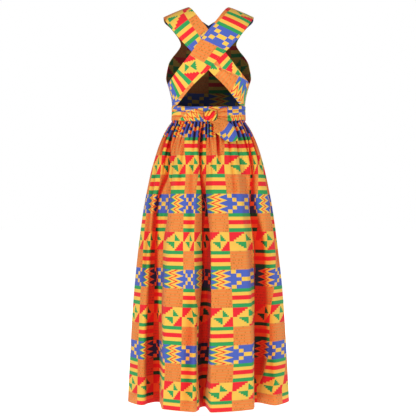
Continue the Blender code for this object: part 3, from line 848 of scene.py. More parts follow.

# %% [markdown]
# On the outer faces of the folds the strips keep their full width, and the cloth between them is tucked away in the
# deep creases. So a table says at which pixel columns of the photograph, in its 416 by 416 frame, strips begin at some
# drops below the waist, and where both lips of each deep crease show. They were read in enlarged crops. 19 of them were
# then moved, by 1.2 pixels at most, so that the print stays where an earlier render had it, and the right lip at the
# lowest drop was set by hand without a reading. A second table says how far the print has come on each lip. It was read
# too, and then moved.
# A pixel column meets the skirt in two or more places, and the one nearest the camera is the one that shows. The front
# has the same lines again, half the girth further on.

# %% The skirt's strips
PHOTO_SIZE = 416
PHOTO_PIXEL = 2 * VIEW_HALF_WIDTH / PHOTO_SIZE
PhotoLines = namedtuple("PhotoLines", "drop left left_lip minus_three middle middle_lip zero one right right_lip five")
PHOTO_LINES = [
    PhotoLines(0.036, 171.5, 172.3, 184.6, 199.6, 202.5, 207.9, 223.7, 245.1, 247.0, None),
    PhotoLines(0.16, 168.6, 170.0, 185.8, 199.0, 203.3, 208.0, 224.2, 249.6, 253.5, None),
    PhotoLines(0.29, 158.7, 159.8, 184.0, 204.2, 205.2, 206.8, 227.5, 249.2, 249.9, 268.2),
    PhotoLines(0.42, 157.4, 158.6, 183.3, 203.8, 204.6, 210.5, 229.3, 252.6, 253.8, 275.0),
    PhotoLines(0.56, 157.2, 158.4, 183.6, 203.5, 204.4, 211.2, 231.3, 253.8, 255.0, 274.7),
    PhotoLines(0.69, 157.0, 158.6, 182.0, 197.0, 199.3, 211.0, 233.0, 254.0, 255.2, 269.5),
    PhotoLines(0.82, 156.6, 159.6, 181.4, 196.0, 197.8, 208.6, 233.5, 253.6, 255.4, 268.0),
    PhotoLines(0.94, 157.0, 161.8, 180.3, 196.0, 199.9, 205.5, 231.8, 253.3, 254.5, 257.0),
]
LipStrips = namedtuple("LipStrips", "drop left left_lip middle middle_lip right right_lip")
LIP_STRIPS = [
    LipStrips(0.036, -4.40, -3.95, -2.30, -0.30, 1.90, 3.60),
    LipStrips(0.16, -4.35, -3.85, -2.05, -0.25, 1.92, 3.55),
    LipStrips(0.29, -4.95, -4.75, -1.20, -0.20, 1.92, 3.35),
    LipStrips(0.42, -4.92, -4.28, -1.10, -0.45, 1.90, 3.95),
    LipStrips(0.56, -4.92, -4.25, -1.15, -0.45, 1.88, 4.05),
    LipStrips(0.69, -4.90, -4.20, -2.25, -0.75, 1.86, 4.10),
    LipStrips(0.82, -4.90, -4.45, -2.30, -0.55, 1.80, 4.20),
    LipStrips(0.94, -4.90, -4.15, -2.25, -0.40, 1.80, 4.60),
]
LINE_STRIPS = {"minus_five": -5.0, "minus_three": -3.0, "zero": 0.12, "one": 1.0, "five": 5.0}
FRONT_STRIPS_ON = 13.0
SEEN_DEPTH, SIDE_DEPTH = 0.1, 0.55
SIDE_FROM, SIDE_FULL = 0.38, 0.50


def across_seen(drop, pixel):
    """The metres across the cloth of the place that a pixel column of the photograph shows at a drop."""
    below = int(np.searchsorted(-skirt_drops, -drop)) - 1
    share = (drop - skirt_drops[below]) / (skirt_drops[below + 1] - skirt_drops[below])
    ring = blend(skirt_points[below], skirt_points[below + 1], share)
    ring = np.concatenate((ring, ring[:1]))
    nearness = VIEW_DISTANCE / (VIEW_DISTANCE + ring[:, 1])
    away = PHOTO_SIZE / 2 + (ring[:, 0] - VIEW_X) * nearness / PHOTO_PIXEL - pixel
    meetings = np.nonzero(away[:-1] * away[1:] <= 0)[0]
    nearest = meetings[np.argmin(ring[meetings, 1])]
    share = away[nearest] / (away[nearest] - away[nearest + 1])
    return float(blend(skirt_across[nearest], skirt_across[nearest + 1], share))


ClothLines = namedtuple("ClothLines", ("drop", "minus_five", *PhotoLines._fields[1:]))


def lines_on_cloth(lines, strips):
    """Pixel columns as metres across. An end line that is out of sight follows at the strips' own width."""
    seen = {name: pixel for name, pixel in lines._asdict().items() if name != "drop" and pixel}
    places = {name: across_seen(lines.drop, pixel) for name, pixel in seen.items()}
    places["minus_five"] = places["left"] - (strips.left - LINE_STRIPS["minus_five"]) * STRIP_WIDTH
    if "five" not in places:
        places["five"] = places["right_lip"] + (LINE_STRIPS["five"] - strips.right_lip) * STRIP_WIDTH
    return ClothLines(lines.drop, **places)


CLOTH_LINES = [lines_on_cloth(lines, strips) for lines, strips in zip(PHOTO_LINES, LIP_STRIPS)]


def strips_at(drop):
    """Where the lines of strips lie across the cloth at a drop, on the back, then on the front, and their numbers."""
    places, numbers = [], []
    for name in ClothLines._fields[1:]:
        places.append(through(CLOTH_LINES, name, drop))
        numbers.append(LINE_STRIPS[name] if name in LINE_STRIPS else through(LIP_STRIPS, name, drop))
    places += [place + hem_length / 2 for place in places]
    numbers += [number + FRONT_STRIPS_ON for number in numbers]
    before, after = skirt_across[0], skirt_across[-1]
    first = numbers[0] + (before - places[0]) / STRIP_WIDTH
    last = numbers[-1] + (after - places[-1]) / STRIP_WIDTH
    return [before, *places, after], [first, *numbers, last]


row_ends = np.concatenate((skirt_points, skirt_points[:, :1]), axis=1)
from_middle = np.abs((skirt_across[:-1] + hem_length / 4) % (hem_length / 2) - hem_length / 4)
depth_share = blend(SEEN_DEPTH, SIDE_DEPTH, ease((from_middle - SIDE_FROM) / (SIDE_FULL - SIDE_FROM)))
row_steps = np.diff(row_ends, axis=1)
row_steps[..., 1] *= depth_share
row_steps = np.linalg.norm(row_steps, axis=2)
row_lengths = np.concatenate((np.zeros((len(row_steps), 1)), np.cumsum(row_steps, axis=1)), axis=1)
skirt_strips = []
for drop, lengths in zip(skirt_drops, row_lengths):
    places, numbers = strips_at(drop)
    skirt_strips.append(np.interp(lengths, np.interp(places, skirt_across, lengths), numbers))
skirt_strips = np.array(skirt_strips)
skirt_rows_down = np.broadcast_to(skirt_down[:, None], skirt_strips.shape)
skirt_metres = np.stack((skirt_strips * STRIP_WIDTH, skirt_rows_down), axis=2)
print("strips between the side seams:", round(float(np.ptp(skirt_strips[0])), 1))

# %% [markdown]
# Each deep crease is a lap: one lip lies over the other, so one side of it falls away at once and the other softly.
# Little light gets into a lap, and what does has met the cloth many times, so it lies in deep, red shade there. That
# shade is painted: the piece keeps how deep in a fold each point lies as an attribute, and the cloth's colour is
# darkened and reddened by it.
# The laps' edges, in metres across, were set by hand beside the lips above, and moved until the render agreed.

# %% The skirt's laps
Lap = namedtuple("Lap", "line soft_before soft_after depth shade")
LAPS = [
    Lap("left", 0.030, 0.006, 0.009, 1.0),
    Lap("middle", 0.018, 0.008, 0.008, 1.0),
    Lap("right", 0.006, 0.036, 0.009, 1.0),
]
LapLines = namedtuple("LapLines", "drop left_from left_to middle_from middle_to right_from right_to")
LAP_LINES = [
    LapLines(0.03, -0.492, -0.472, -0.162, -0.132, 0.348, 0.372),
    LapLines(0.16, -0.440, -0.419, -0.154, -0.114, 0.302, 0.334),
    LapLines(0.29, -0.494, -0.459, -0.118, -0.080, 0.270, 0.302),
    LapLines(0.42, -0.494, -0.448, -0.116, -0.026, 0.274, 0.334),
    LapLines(0.56, -0.490, -0.438, -0.110, -0.012, 0.269, 0.330),
    LapLines(0.69, -0.492, -0.432, -0.142, -0.012, 0.264, 0.326),
    LapLines(0.82, -0.492, -0.428, -0.158, -0.046, 0.246, 0.310),
    LapLines(0.94, -0.486, -0.424, -0.142, -0.096, 0.204, 0.272),
]
LAP_START = 0.03


def lap_heights():
    """How far each lap moves the cloth, and how much painted shade it gets there."""
    heights, shades = np.zeros(skirt_cloth.shape[:2]), np.zeros(skirt_cloth.shape[:2])
    for lap in LAPS:
        first = np.array([through(LAP_LINES, lap.line + "_from", drop) for drop in skirt_drops])
        last = np.array([through(LAP_LINES, lap.line + "_to", drop) for drop in skirt_drops])
        middle, half = ((first + last) / 2)[:, None], ((last - first) / 2)[:, None]
        grown = ease(skirt_drops / LAP_START)[:, None]
        for shift in (0.0, hem_length / 2):
            away = (skirt_cloth[..., 0] - middle - shift + hem_length / 2) % hem_length - hem_length / 2
            inside = ease(0.5 + (away + half) / lap.soft_before) * ease(0.5 + (half - away) / lap.soft_after)
            heights -= lap.depth * inside * grown
            shades = np.maximum(shades, lap.shade * inside * grown)
    return heights, shades


lap_depths, skirt_shade = lap_heights()
print("deepest lap in millimetres:", round(float(-lap_depths.min()) * 1000, 1))

# %% [markdown]
# Long soft creases run down from the gathers, some between the large folds and some across their walls. The ones on
# the back follow the photograph, and the front has others of the same kind.

# %% The skirt's creases
SKIRT_CREASES = [
    Crease(-0.535, 0.10, -0.520, 0.62, -0.0050, 0.016),
    Crease(-0.390, 0.03, -0.372, 0.33, -0.0042, 0.013),
    Crease(-0.345, 0.24, -0.330, 0.80, 0.0032, 0.022),
    Crease(-0.300, 0.02, -0.286, 0.26, -0.0044, 0.012),
    Crease(-0.222, 0.05, -0.214, 0.47, -0.0036, 0.014),
    Crease(-0.205, 0.55, -0.222, 1.02, -0.0050, 0.018),
    Crease(-0.030, 0.06, -0.012, 0.21, -0.0044, 0.011),
    Crease(0.042, 0.02, 0.050, 0.17, -0.0056, 0.011),
    Crease(0.128, 0.03, 0.122, 0.30, -0.0040, 0.012),
    Crease(0.170, 0.30, 0.188, 0.90, 0.0036, 0.024),
    Crease(0.220, 0.02, 0.214, 0.22, -0.0046, 0.013),
    Crease(0.352, 0.36, 0.330, 1.03, -0.0046, 0.018),
    Crease(0.430, 0.08, 0.424, 0.58, -0.0052, 0.016),
    Crease(0.590, 0.04, 0.610, 0.50, -0.0050, 0.016),
    Crease(0.690, 0.03, 0.700, 0.28, -0.0042, 0.012),
    Crease(0.775, 0.20, 0.790, 0.84, 0.0034, 0.024),
    Crease(0.862, 0.04, 0.870, 0.40, -0.0044, 0.013),
    Crease(0.905, 0.52, 0.890, 1.03, -0.0048, 0.018),
    Crease(1.060, 0.03, 1.072, 0.24, -0.0044, 0.012),
    Crease(1.150, 0.05, 1.144, 0.34, -0.0042, 0.013),
    Crease(1.230, 0.28, 1.246, 0.92, 0.0034, 0.024),
    Crease(1.305, 0.03, 1.298, 0.26, -0.0046, 0.013),
    Crease(1.420, 0.42, 1.404, 1.03, -0.0046, 0.018),
    Crease(1.500, 0.06, 1.490, 0.55, -0.0050, 0.016),
]
SHADE_DEPTH = 0.012

crease_depths = crease_heights(skirt_cloth, SKIRT_CREASES, hem_length)
# Painted shade: the colour darkens along each crease's trough, the more the deeper it goes.
skirt_shade = np.maximum(skirt_shade, np.clip(-crease_depths / SHADE_DEPTH, 0, 1))
skirt_points = skirt_points + way_out(skirt_points, True) * (lap_depths + crease_depths)[..., None]
print("creases on the skirt:", len(SKIRT_CREASES))

# %% [markdown]
# ## Gathers
# At the waist a running thread draws the wide cloth into small gathers: broad ridges with narrow, sharp creases between
# them, of different depths and lengths. They follow a rule, so Geometry Nodes make them. The piece carries its number
# of gathers round, each crease's length and its size as attributes, and the tree moves the cloth along its own normal.

# %% The gathering tree
gathering = bpy.data.node_groups.new("Gathers", "GeometryNodeTree")
gathering.interface.new_socket("Geometry", in_out="INPUT", socket_type="NodeSocketGeometry")
Setting = namedtuple("Setting", "name kind value")
GATHER_SETTINGS = [
    Setting("Ridge height", "NodeSocketFloat", 0.0030),
    Setting("Ridge length", "NodeSocketFloat", 0.150),
    Setting("Crease depth", "NodeSocketFloat", 0.0140),
    Setting("Crease width", "NodeSocketFloat", 0.290),
    Setting("Rise below the band", "NodeSocketFloat", 0.010),
    Setting("Shade", "NodeSocketFloat", 2.5),
    Setting("Cloth", "NodeSocketMaterial", FACE),
]
for setting in GATHER_SETTINGS:
    gathering.interface.new_socket(setting.name, in_out="INPUT", socket_type=setting.kind)
gathering.interface.new_socket("Geometry", in_out="OUTPUT", socket_type="NodeSocketGeometry")

given = add(gathering, "NodeGroupInput").outputs
turns, drops, reaches, sizes, shades = (
    add(gathering, "GeometryNodeInputNamedAttribute", name, data_type="FLOAT")
    for name in ("gather", "drop", "reach", "size", "fold")
)
place = calc(gathering, "FRACT", turns)
place = calc(gathering, "SUBTRACT", place, 0.5)
place = calc(gathering, "DIVIDE", place, given["Crease width"])
place = calc(gathering, "POWER", place, 2.0)
crease = calc(gathering, "MULTIPLY", place, -1.0)
crease = calc(gathering, "EXPONENT", crease)
fades = [
    add(gathering, "ShaderNodeMapRange", drops, 0.0, length, 1.0, 0.0, interpolation_type="SMOOTHSTEP")
    for length in (given["Ridge length"], reaches)
]
ridges = calc(gathering, "MULTIPLY", given["Ridge height"], fades[0])
troughs = calc(gathering, "MULTIPLY", given["Crease depth"], fades[1])
troughs = calc(gathering, "MULTIPLY", troughs, crease)
moved = calc(gathering, "SUBTRACT", ridges, troughs)
start = add(gathering, "ShaderNodeMapRange", drops, 0.0, given["Rise below the band"], 0.1, 1.0)
moved = calc(gathering, "MULTIPLY", moved, start)
moved = calc(gathering, "MULTIPLY", moved, sizes)
way = add(gathering, "GeometryNodeInputNormal")
offset = add(gathering, "ShaderNodeVectorMath", way, moved, operation="SCALE")
placed = add(gathering, "GeometryNodeSetPosition", given["Geometry"], None, None, offset)
# Painted shade: the colour darkens in the creases between the gathers, and the painted shade of the laps and creases is
# kept.
shade = calc(gathering, "MULTIPLY", fades[1], crease)
shade = calc(gathering, "MULTIPLY", shade, sizes)
shade = calc(gathering, "MULTIPLY", shade, given["Shade"])
shade = calc(gathering, "MAXIMUM", shade, shades)
shade = calc(gathering, "MINIMUM", shade, 1.0)
kept = dict(data_type="FLOAT", domain="POINT")
placed = add(gathering, "GeometryNodeStoreNamedAttribute", placed, None, "fold", shade, **kept)
placed = add(gathering, "GeometryNodeRealizeInstances", placed)
placed = add(gathering, "GeometryNodeSetMaterial", placed, None, given["Cloth"])
add(gathering, "NodeGroupOutput", placed)
print("nodes in the gathering tree:", len(gathering.nodes))

# %% [markdown]
# A modifier's inputs are set by the identifier of their socket before the piece is evaluated.

# %% Gather the skirt
Gather = namedtuple("Gather", "across reach size lean")
GATHER_CREASES = [
    Gather(-0.570, 0.12, 0.80, 0.5),
    Gather(-0.515, 0.17, 0.90, 0.4),
    Gather(-0.455, 0.26, 1.10, 0.6),
    Gather(-0.415, 0.10, 0.90, 0.2),
    Gather(-0.370, 0.07, 0.65, 0.0),
    Gather(-0.328, 0.13, 1.00, 0.3),
    Gather(-0.290, 0.07, 0.65, 0.1),
    Gather(-0.255, 0.09, 0.80, 0.0),
    Gather(-0.220, 0.13, 0.90, 0.1),
    Gather(-0.169, 0.15, 1.00, 0.2),
    Gather(-0.130, 0.22, 1.10, 0.3),
    Gather(-0.083, 0.10, 0.95, 0.1),
    Gather(-0.044, 0.14, 0.90, 0.2),
    Gather(-0.002, 0.08, 0.90, 0.0),
    Gather(0.042, 0.19, 1.05, 0.0),
    Gather(0.085, 0.10, 0.80, -0.1),
    Gather(0.130, 0.15, 0.90, -0.1),
    Gather(0.176, 0.08, 0.70, 0.0),
    Gather(0.220, 0.17, 1.00, -0.2),
    Gather(0.265, 0.09, 0.80, -0.1),
    Gather(0.308, 0.20, 1.00, -0.4),
    Gather(0.345, 0.12, 0.90, -0.2),
    Gather(0.385, 0.22, 1.10, -0.3),
    Gather(0.430, 0.12, 0.90, -0.3),
    Gather(0.475, 0.15, 0.95, -0.4),
]
GATHER_SEED = 7
UNEVEN = 0.008
UNEVEN_REACH = (0.7, 1.3)
UNEVEN_SIZE = (0.85, 1.15)
chance = random.Random(GATHER_SEED)
front_gathers = [
    Gather(
        gather.across + hem_length / 2 + chance.uniform(-UNEVEN, UNEVEN),
        gather.reach * chance.uniform(*UNEVEN_REACH),
        gather.size * chance.uniform(*UNEVEN_SIZE),
        gather.lean,
    )
    for gather in GATHER_CREASES
]
gathers = GATHER_CREASES + front_gathers


def with_inputs(piece, tree, settings):
    """Put a tree on a piece as a modifier and fill its inputs."""
    modifier = piece.modifiers.new(tree.name, "NODES")
    modifier.node_group = tree
    identifiers = {item.name: item.identifier for item in tree.interface.items_tree if item.in_out == "INPUT"}
    for setting in settings:
        modifier[identifiers[setting.name]] = setting.value
    return modifier


def keep_attribute(piece, name, values):
    piece.data.attributes.new(name, "FLOAT", "POINT").data.foreach_set("value", np.asarray(values, dtype=float).ravel())


skirt = open_cloth("skirt_cloth", skirt_points, skirt_metres, closed=True)
crease_places = np.array([gather.across for gather in gathers])
crease_numbers = np.arange(len(gathers)) + 0.5
round_again = [-1, *range(len(gathers)), 0]
ends = np.array([-hem_length, *[0.0] * len(gathers), hem_length])
numbers = [-0.5, *crease_numbers, len(gathers) + 0.5]
number = np.interp(skirt_across[:-1], crease_places[round_again] + ends, numbers)
lean, reach, size = (
    np.interp(number, crease_numbers, [getattr(gather, name) for gather in gathers], period=len(gathers))
    for name in ("lean", "reach", "size")
)
keep_attribute(skirt, "gather", number + lean * skirt_drops[:, None])
keep_attribute(skirt, "drop", np.repeat(skirt_drops, skirt_columns))
keep_attribute(skirt, "reach", np.tile(reach, len(skirt_drops)))
keep_attribute(skirt, "size", np.tile(size, len(skirt_drops)))
keep_attribute(skirt, "fold", skirt_shade)
with_inputs(skirt, gathering, GATHER_SETTINGS)
made_plain(skirt)
skirt.data.materials.append(REVERSE)
walled(skirt)

# %% [markdown]
# ## Front of the bodice
# One panel from side seam to side seam. Its top goes over both shoulders and dips to a V at the neck. The photograph
# shows only its reverse, through the open back, so its outer side is finished plainly, with soft creases from the side
# seams to the bust and up from the waist.

# %% Front of the bodice
Edge = namedtuple("Edge", "z angle")
FRONT_EDGE = [
    Edge(-0.340, SIDE_ANGLE),
    Edge(-0.300, SIDE_ANGLE),
    Edge(-0.256, SIDE_ANGLE),
    Edge(-0.238, 83.0),
    Edge(-0.220, 74.0),
    Edge(-0.199, 68.5),
    Edge(-0.171, 62.0),
    Edge(-0.148, 53.0),
    Edge(-0.124, 42.5),
    Edge(-0.101, 36.0),
    Edge(-0.075, 39.0),
    Edge(-0.045, 48.0),
    Edge(-0.023, 58.0),
]
NECK_DROP_Z = -0.030
NECK_COLUMNS = 15
SHOULDER_COLUMNS = 21
SHOULDER_SHARE = 1 / 12
FRONT_ROWS = 60
FRONT_LAY = Lay(0.0, 0.0915, 0.176)
FRONT_CREASES = [
    Crease(0.125, 0.235, 0.075, 0.205, 0.0016, 0.007),
    Crease(-0.128, 0.240, -0.080, 0.198, 0.0018, 0.007),
    Crease(0.110, 0.262, 0.060, 0.236, -0.0014, 0.006),
    Crease(-0.118, 0.270, -0.062, 0.240, -0.0016, 0.006),
    Crease(0.030, 0.330, 0.042, 0.262, 0.0018, 0.006),
    Crease(-0.026, 0.332, -0.036, 0.270, 0.0015, 0.006),
    Crease(0.066, 0.332, 0.070, 0.280, -0.0015, 0.005),
    Crease(-0.070, 0.330, -0.072, 0.286, -0.0013, 0.005),
    Crease(0.004, 0.150, -0.002, 0.230, -0.0020, 0.012),
]


def lengths_along(points, axis):
    """Metres of cloth from the start of each row or column of a grid."""
    steps = np.linalg.norm(np.diff(points, axis=axis), axis=2)
    start = np.zeros_like(steps[:, :1] if axis else steps[:1])
    return np.concatenate((start, np.cumsum(steps, axis=axis)), axis=axis)


seam_drop = drop_of(SHOULDER_SEAM_TURN + SEAM_TURN)
inner_top = ridge(SHOULDER_INNER_X) - seam_drop
neck_shares = np.arange(NECK_COLUMNS) / NECK_COLUMNS
front_tops = [(t * SHOULDER_INNER_X, blend(NECK_DROP_Z, inner_top, t)) for t in neck_shares]
for t in np.arange(SHOULDER_COLUMNS + 1) / SHOULDER_COLUMNS:
    x = blend(SHOULDER_INNER_X, SHOULDER_OUTER_X, t)
    front_tops.append((x, ridge(x) - seam_drop))
front_top_angles = [math.degrees(math.asin(x / through(FORM, "half_width", z))) for x, z in front_tops]

front_rows = []
for step in range(FRONT_ROWS + 1):
    height = step / FRONT_ROWS
    outer_z = blend(BAND_TOP + SEAM_GAP, front_tops[-1][1], height)
    near_top = float(ease((height - 1) / SHOULDER_SHARE + 1))
    edge = blend(through(FRONT_EDGE, "angle", outer_z), front_top_angles[-1], near_top)
    half = []
    for (_, top), top_angle in zip(front_tops, front_top_angles):
        z = blend(BAND_TOP + SEAM_GAP, top, height)
        angle = edge * top_angle / front_top_angles[-1]
        across_here = through(FORM, "half_width", z) * math.sin(math.radians(angle))
        half.append(worn_front(angle, z, ridge(across_here)))
    front_rows.append([(-x, y, z) for x, y, z in half[:0:-1]] + half)
front_points = np.array(front_rows)[:, ::-1]
front_across = lengths_along(front_points, 1)
front_metres = np.stack((front_across - front_across[:, -1:] / 2, -front_points[..., 2]), axis=2)
front_points = creased(front_points, front_metres, FRONT_CREASES)
front_bodice = walled(open_cloth("front_bodice_cloth", front_points, laid(front_metres, FRONT_LAY)))

# %% [markdown]
# ## Straps
# Two wide straps start at the shoulder seams, cross on the back, and are sewn to the far side seams and the waistband.
# The left and the right one have the same form, and the one that passes over is lifted clear where they cross. Their
# print runs upwards from the waist and lies a few degrees off the strap's own line.

# %% The straps' form
Station = namedtuple("Station", "inner_x inner_z outer_x outer_z")
STRAP = [
    Station(0.0600, 0.0040, 0.1520, -0.0350),
    Station(0.0330, -0.0330, 0.1220, -0.0780),
    Station(-0.0060, -0.0830, 0.0800, -0.1290),
    Station(-0.0400, -0.1290, 0.0360, -0.1750),
    Station(-0.0740, -0.1730, -0.0080, -0.2240),
    Station(-0.1080, -0.2140, -0.0600, -0.2740),
]
STRAP_COLUMNS = 84
STRAP_STEPS = 20
STRAP_FOOT_X = 0.112
STRAP_CORNER = 0.8
STRAP_CROWN = 0.003
CROWN_REACH = 2.0
LIFT_FROM, LIFT_FULL, LIFT_KEEP, LIFT_END = 2.0, 3.5, 6.4, 7.8
STRAP_LIFT = LAYER + 0.0012


def straight(start, end):
    steps = [i / STRAP_COLUMNS for i in range(STRAP_COLUMNS + 1)]
    return [tuple(blend(a, b, t) for a, b in zip(start, end)) for t in steps]


def foot():
    """The last section of a strap follows the side seam down, then the top of the waistband."""
    section = []
    for i in range(STRAP_COLUMNS + 1):
        t = i / STRAP_COLUMNS
        z = blend(ARMHOLE_Z, BAND_TOP + SEAM_GAP, min(1.0, t / STRAP_CORNER))
        x = -through(FORM, "half_width", z) * math.sin(math.radians(SIDE_ANGLE))
        if t > STRAP_CORNER:
            x = blend(x, -STRAP_FOOT_X, (t - STRAP_CORNER) / (1 - STRAP_CORNER))
        section.append((x, z, turn_of(ridge(x) - z)))
    return section


def strap_sections():
    """Sections across a strap, from the shoulder seam to the side seam, as x, z and turn."""
    sections = []
    for turn in (-SHOULDER_SEAM_TURN + SEAM_TURN, 0.0):
        drop = drop_of(abs(turn))
        ends = [(x, ridge(x) - drop, turn) for x in (SHOULDER_INNER_X, SHOULDER_OUTER_X)]
        sections.append(straight(*ends))
    for row in STRAP:
        inner = (row.inner_x, row.inner_z, turn_of(ridge(row.inner_x) - row.inner_z))
        outer = (row.outer_x, row.outer_z, turn_of(ridge(row.outer_x) - row.outer_z))
        sections.append(straight(inner, outer))
    return sections + [foot()]


def out_of_back(x, z, turn):
    """The way out of the worn form on the back."""
    share = min(0.999, abs(x) / through(FORM, "half_width", z))
    flat = Vector((math.copysign(share, x), -math.sqrt(1 - share * share) * math.copysign(1, turn), 0))
    up = math.cos(math.radians(min(abs(turn), 90.0)))
    return (flat * rise(abs(turn)) + Vector((0, 0, up))).normalized()


def strap_row(sections, place, lifted):
    last = len(sections) - 1
    here = min(int(place), last - 1)
    crossing = float(ease((place - LIFT_FROM) / (LIFT_FULL - LIFT_FROM)))
    crossing *= float(ease((LIFT_END - place) / (LIFT_END - LIFT_KEEP)))
    lift = STRAP_LIFT * crossing if lifted else 0.0
    near_ends = float(ease(place / CROWN_REACH) * ease((last - place) / CROWN_REACH))
    fullness = STRAP_CROWN * (1 - crossing) * near_ends
    row = []
    for i in range(STRAP_COLUMNS + 1):
        near = [sections[min(max(here + k, 0), last)][i] for k in (-1, 0, 1, 2)]
        x, z, turn = (catmull(*values, place - here) for values in zip(*near))
        crown = fullness * (1 - (2 * i / STRAP_COLUMNS - 1) ** 2)
        row.append(tuple(worn_back(x, z, turn) + out_of_back(x, z, turn) * (lift + crown)))
    return row


def strap_points(lifted):
    """Rows of points along a strap, from the shoulder seam down."""
    sections = strap_sections()
    places = np.arange((len(sections) - 1) * STRAP_STEPS + 1) / STRAP_STEPS
    return np.array([strap_row(sections, place, lifted) for place in places])


over_points = strap_points(True)
under_points = strap_points(False)[:, ::-1] * np.array([-1, 1, 1])
print("strap length in metres:", round(float(lengths_along(over_points, 0)[-1].mean()), 3))

# %% [markdown]
# Metres down a strap are measured along its middle, and metres across it from the middle, so the print isn't squeezed
# where the strap is narrow.

# %% The straps' print and creases
OVER_LAYERS = [
    Layer(0.000, 0.0000, 90.0, Lay(175.5, 0.1570, 0.1449, 1.147, -0.113)),
    Layer(0.000, 0.2407, 86.0, Lay(180.0, 0.1037, 0.1454, 1.147, -0.087)),
    Layer(0.000, 0.3140, 86.0, Lay(180.0, 0.1273, 0.1454, 1.147, -0.087, 1.45)),
]
UNDER_LAYERS = [
    Layer(0.000, 0.0000, 90.0, Lay(175.0, 0.1150, 0.1804, 1.147, -0.230)),
    Layer(-0.016, 0.3150, 157.0, Lay(175.0, 0.0649, 0.3753, 1.100, -0.150)),
]
OVER_CREASES = [
    Crease(-0.020, 0.17, -0.005, 0.26, -0.0010, 0.006),
    Crease(0.018, 0.24, 0.010, 0.33, 0.0012, 0.007),
    Crease(-0.030, 0.33, 0.000, 0.42, -0.0016, 0.007),
    Crease(0.020, 0.36, 0.028, 0.44, 0.0014, 0.006),
]
UNDER_CREASES = [
    Crease(-0.017, 0.31, 0.026, 0.43, -0.0022, 0.003),
    Crease(0.022, 0.30, 0.006, 0.40, 0.0014, 0.007),
    Crease(-0.022, 0.34, -0.028, 0.43, -0.0016, 0.006),
]


def strap_metres(points):
    middle = points.shape[1] // 2
    down = lengths_along(points, 0)[:, middle]
    across = lengths_along(points, 1)
    across = across - across[:, middle : middle + 1]
    return np.stack((across, np.broadcast_to(down[:, None], across.shape)), axis=2)


straps, strap_edges = {}, {}
for name, points, layers, creases in (
    ("strap_over", over_points, OVER_LAYERS, OVER_CREASES),
    ("strap_under", under_points, UNDER_LAYERS, UNDER_CREASES),
):
    metres = strap_metres(points)
    points, metres = points[::-1], metres[::-1]
    points = creased(points, metres, creases)
    strap_edges[name] = points
    straps[name] = walled(open_cloth(name + "_cloth", points, laid_in_layers(metres, layers)), inward=True)

# %% [markdown]
# ## Waistband
# A straight band 52 mm high goes round the waist. The sash hides it behind, and in front it lies open, with small
# puckers from the gathers that are sewn into its lower edge.

# %% Waistband
BAND_COLUMNS = 288
BAND_ROWS = 14
BAND_LAY = Lay(0.0, 0.030, 0.200)
PUCKER = 0.0005

band_rows = []
for row in range(BAND_ROWS + 1):
    ring = []
    for column in range(BAND_COLUMNS):
        angle = 360 * column / BAND_COLUMNS
        top = BAND_TOP - band_dip(angle)
        share = row / BAND_ROWS
        wave = 1 + math.cos(math.radians(angle) * PUCKERS)
        pucker = PUCKER * (1 - share) * math.sin(math.pi * share) * wave
        ring.append(tuple(waist_point(angle, blend(top - BAND_HEIGHT, top, share), pucker)))
    band_rows.append(ring)
band_points = np.array(band_rows)
girth = float(np.linalg.norm(np.roll(band_points[0], -1, axis=0) - band_points[0], axis=1).sum())
band_across = np.arange(BAND_COLUMNS + 1) * girth / BAND_COLUMNS
band_down = BAND_HEIGHT * (1 - np.arange(BAND_ROWS + 1) / BAND_ROWS)
band_metres = np.stack(np.meshgrid(band_across, band_down), axis=2)
waistband = walled(open_cloth("waistband_cloth", band_points, laid(band_metres, BAND_LAY), closed=True))
print("waistband in metres round:", round(girth, 3))

# %% [markdown]
# ## Ties
# Two ties start at the side seams, lie over the waistband, and run together in lengthwise folds to the knot at the
# centre back.

# %% Ties
Tie = namedtuple("Tie", "x top bottom")
KNOT_X = 0.0065
KNOT_Z = -0.3745
KNOT_HALF = Vector((0.0225, 0.0125, 0.0195))
WAIST_HALF_WIDTH = 0.1290
SASH_LEFT = [
    Tie(-0.1288, 0.0015, 0.0012),
    Tie(-0.1180, 0.0020, 0.0012),
    Tie(-0.0800, 0.0030, 0.0012),
    Tie(-0.0420, 0.0090, 0.0020),
    Tie(KNOT_X - KNOT_HALF.x - SEAM_GAP, 0.0180, 0.0080),
]
SASH_RIGHT = [
    Tie(0.1288, 0.0015, 0.0012),
    Tie(0.1190, 0.0020, 0.0012),
    Tie(0.0860, 0.0020, 0.0012),
    Tie(0.0520, 0.0040, 0.0020),
    Tie(KNOT_X + KNOT_HALF.x + SEAM_GAP, 0.0130, 0.0110),
]
TIE_EASE = 0.0004
SASH_STEPS = 14
SASH_COLUMNS = 60
SASH_PLEATS = 3
SASH_PLEAT_RISE = 0.0030
PLEAT_SHIFT = 0.15
PLEAT_FULLNESS = 0.7
SASH_KNOT_SWELL = 0.0060
SWELL_POWER = 3
DRAWN_FROM = 0.7
TIE_SHADE = 0.95
DRAWN_SHADE = 0.6
LEFT_LAYERS = [
    Layer(0.0, 0.000, 90.0, Lay(10.0, 0.0388, 0.1907)),
    Layer(0.0, 0.019, 90.0, Lay(10.0, -0.0673, -0.0184)),
    Layer(0.0, 0.032, 90.0, Lay(10.0, 0.0, -0.018)),
    Layer(0.080, 0.034, 52.0, Lay(124.0, 0.1360, 0.1458)),
]
RIGHT_LAYERS = [
    Layer(0.0, 0.000, 90.0, Lay(0.0, 0.2145, 0.2074)),
    Layer(0.0, 0.030, 90.0, Lay(90.0, 0.0830, 0.2890)),
    Layer(0.110, 0.000, 0.0, Lay(15.0, 0.1790, 0.0367)),
]


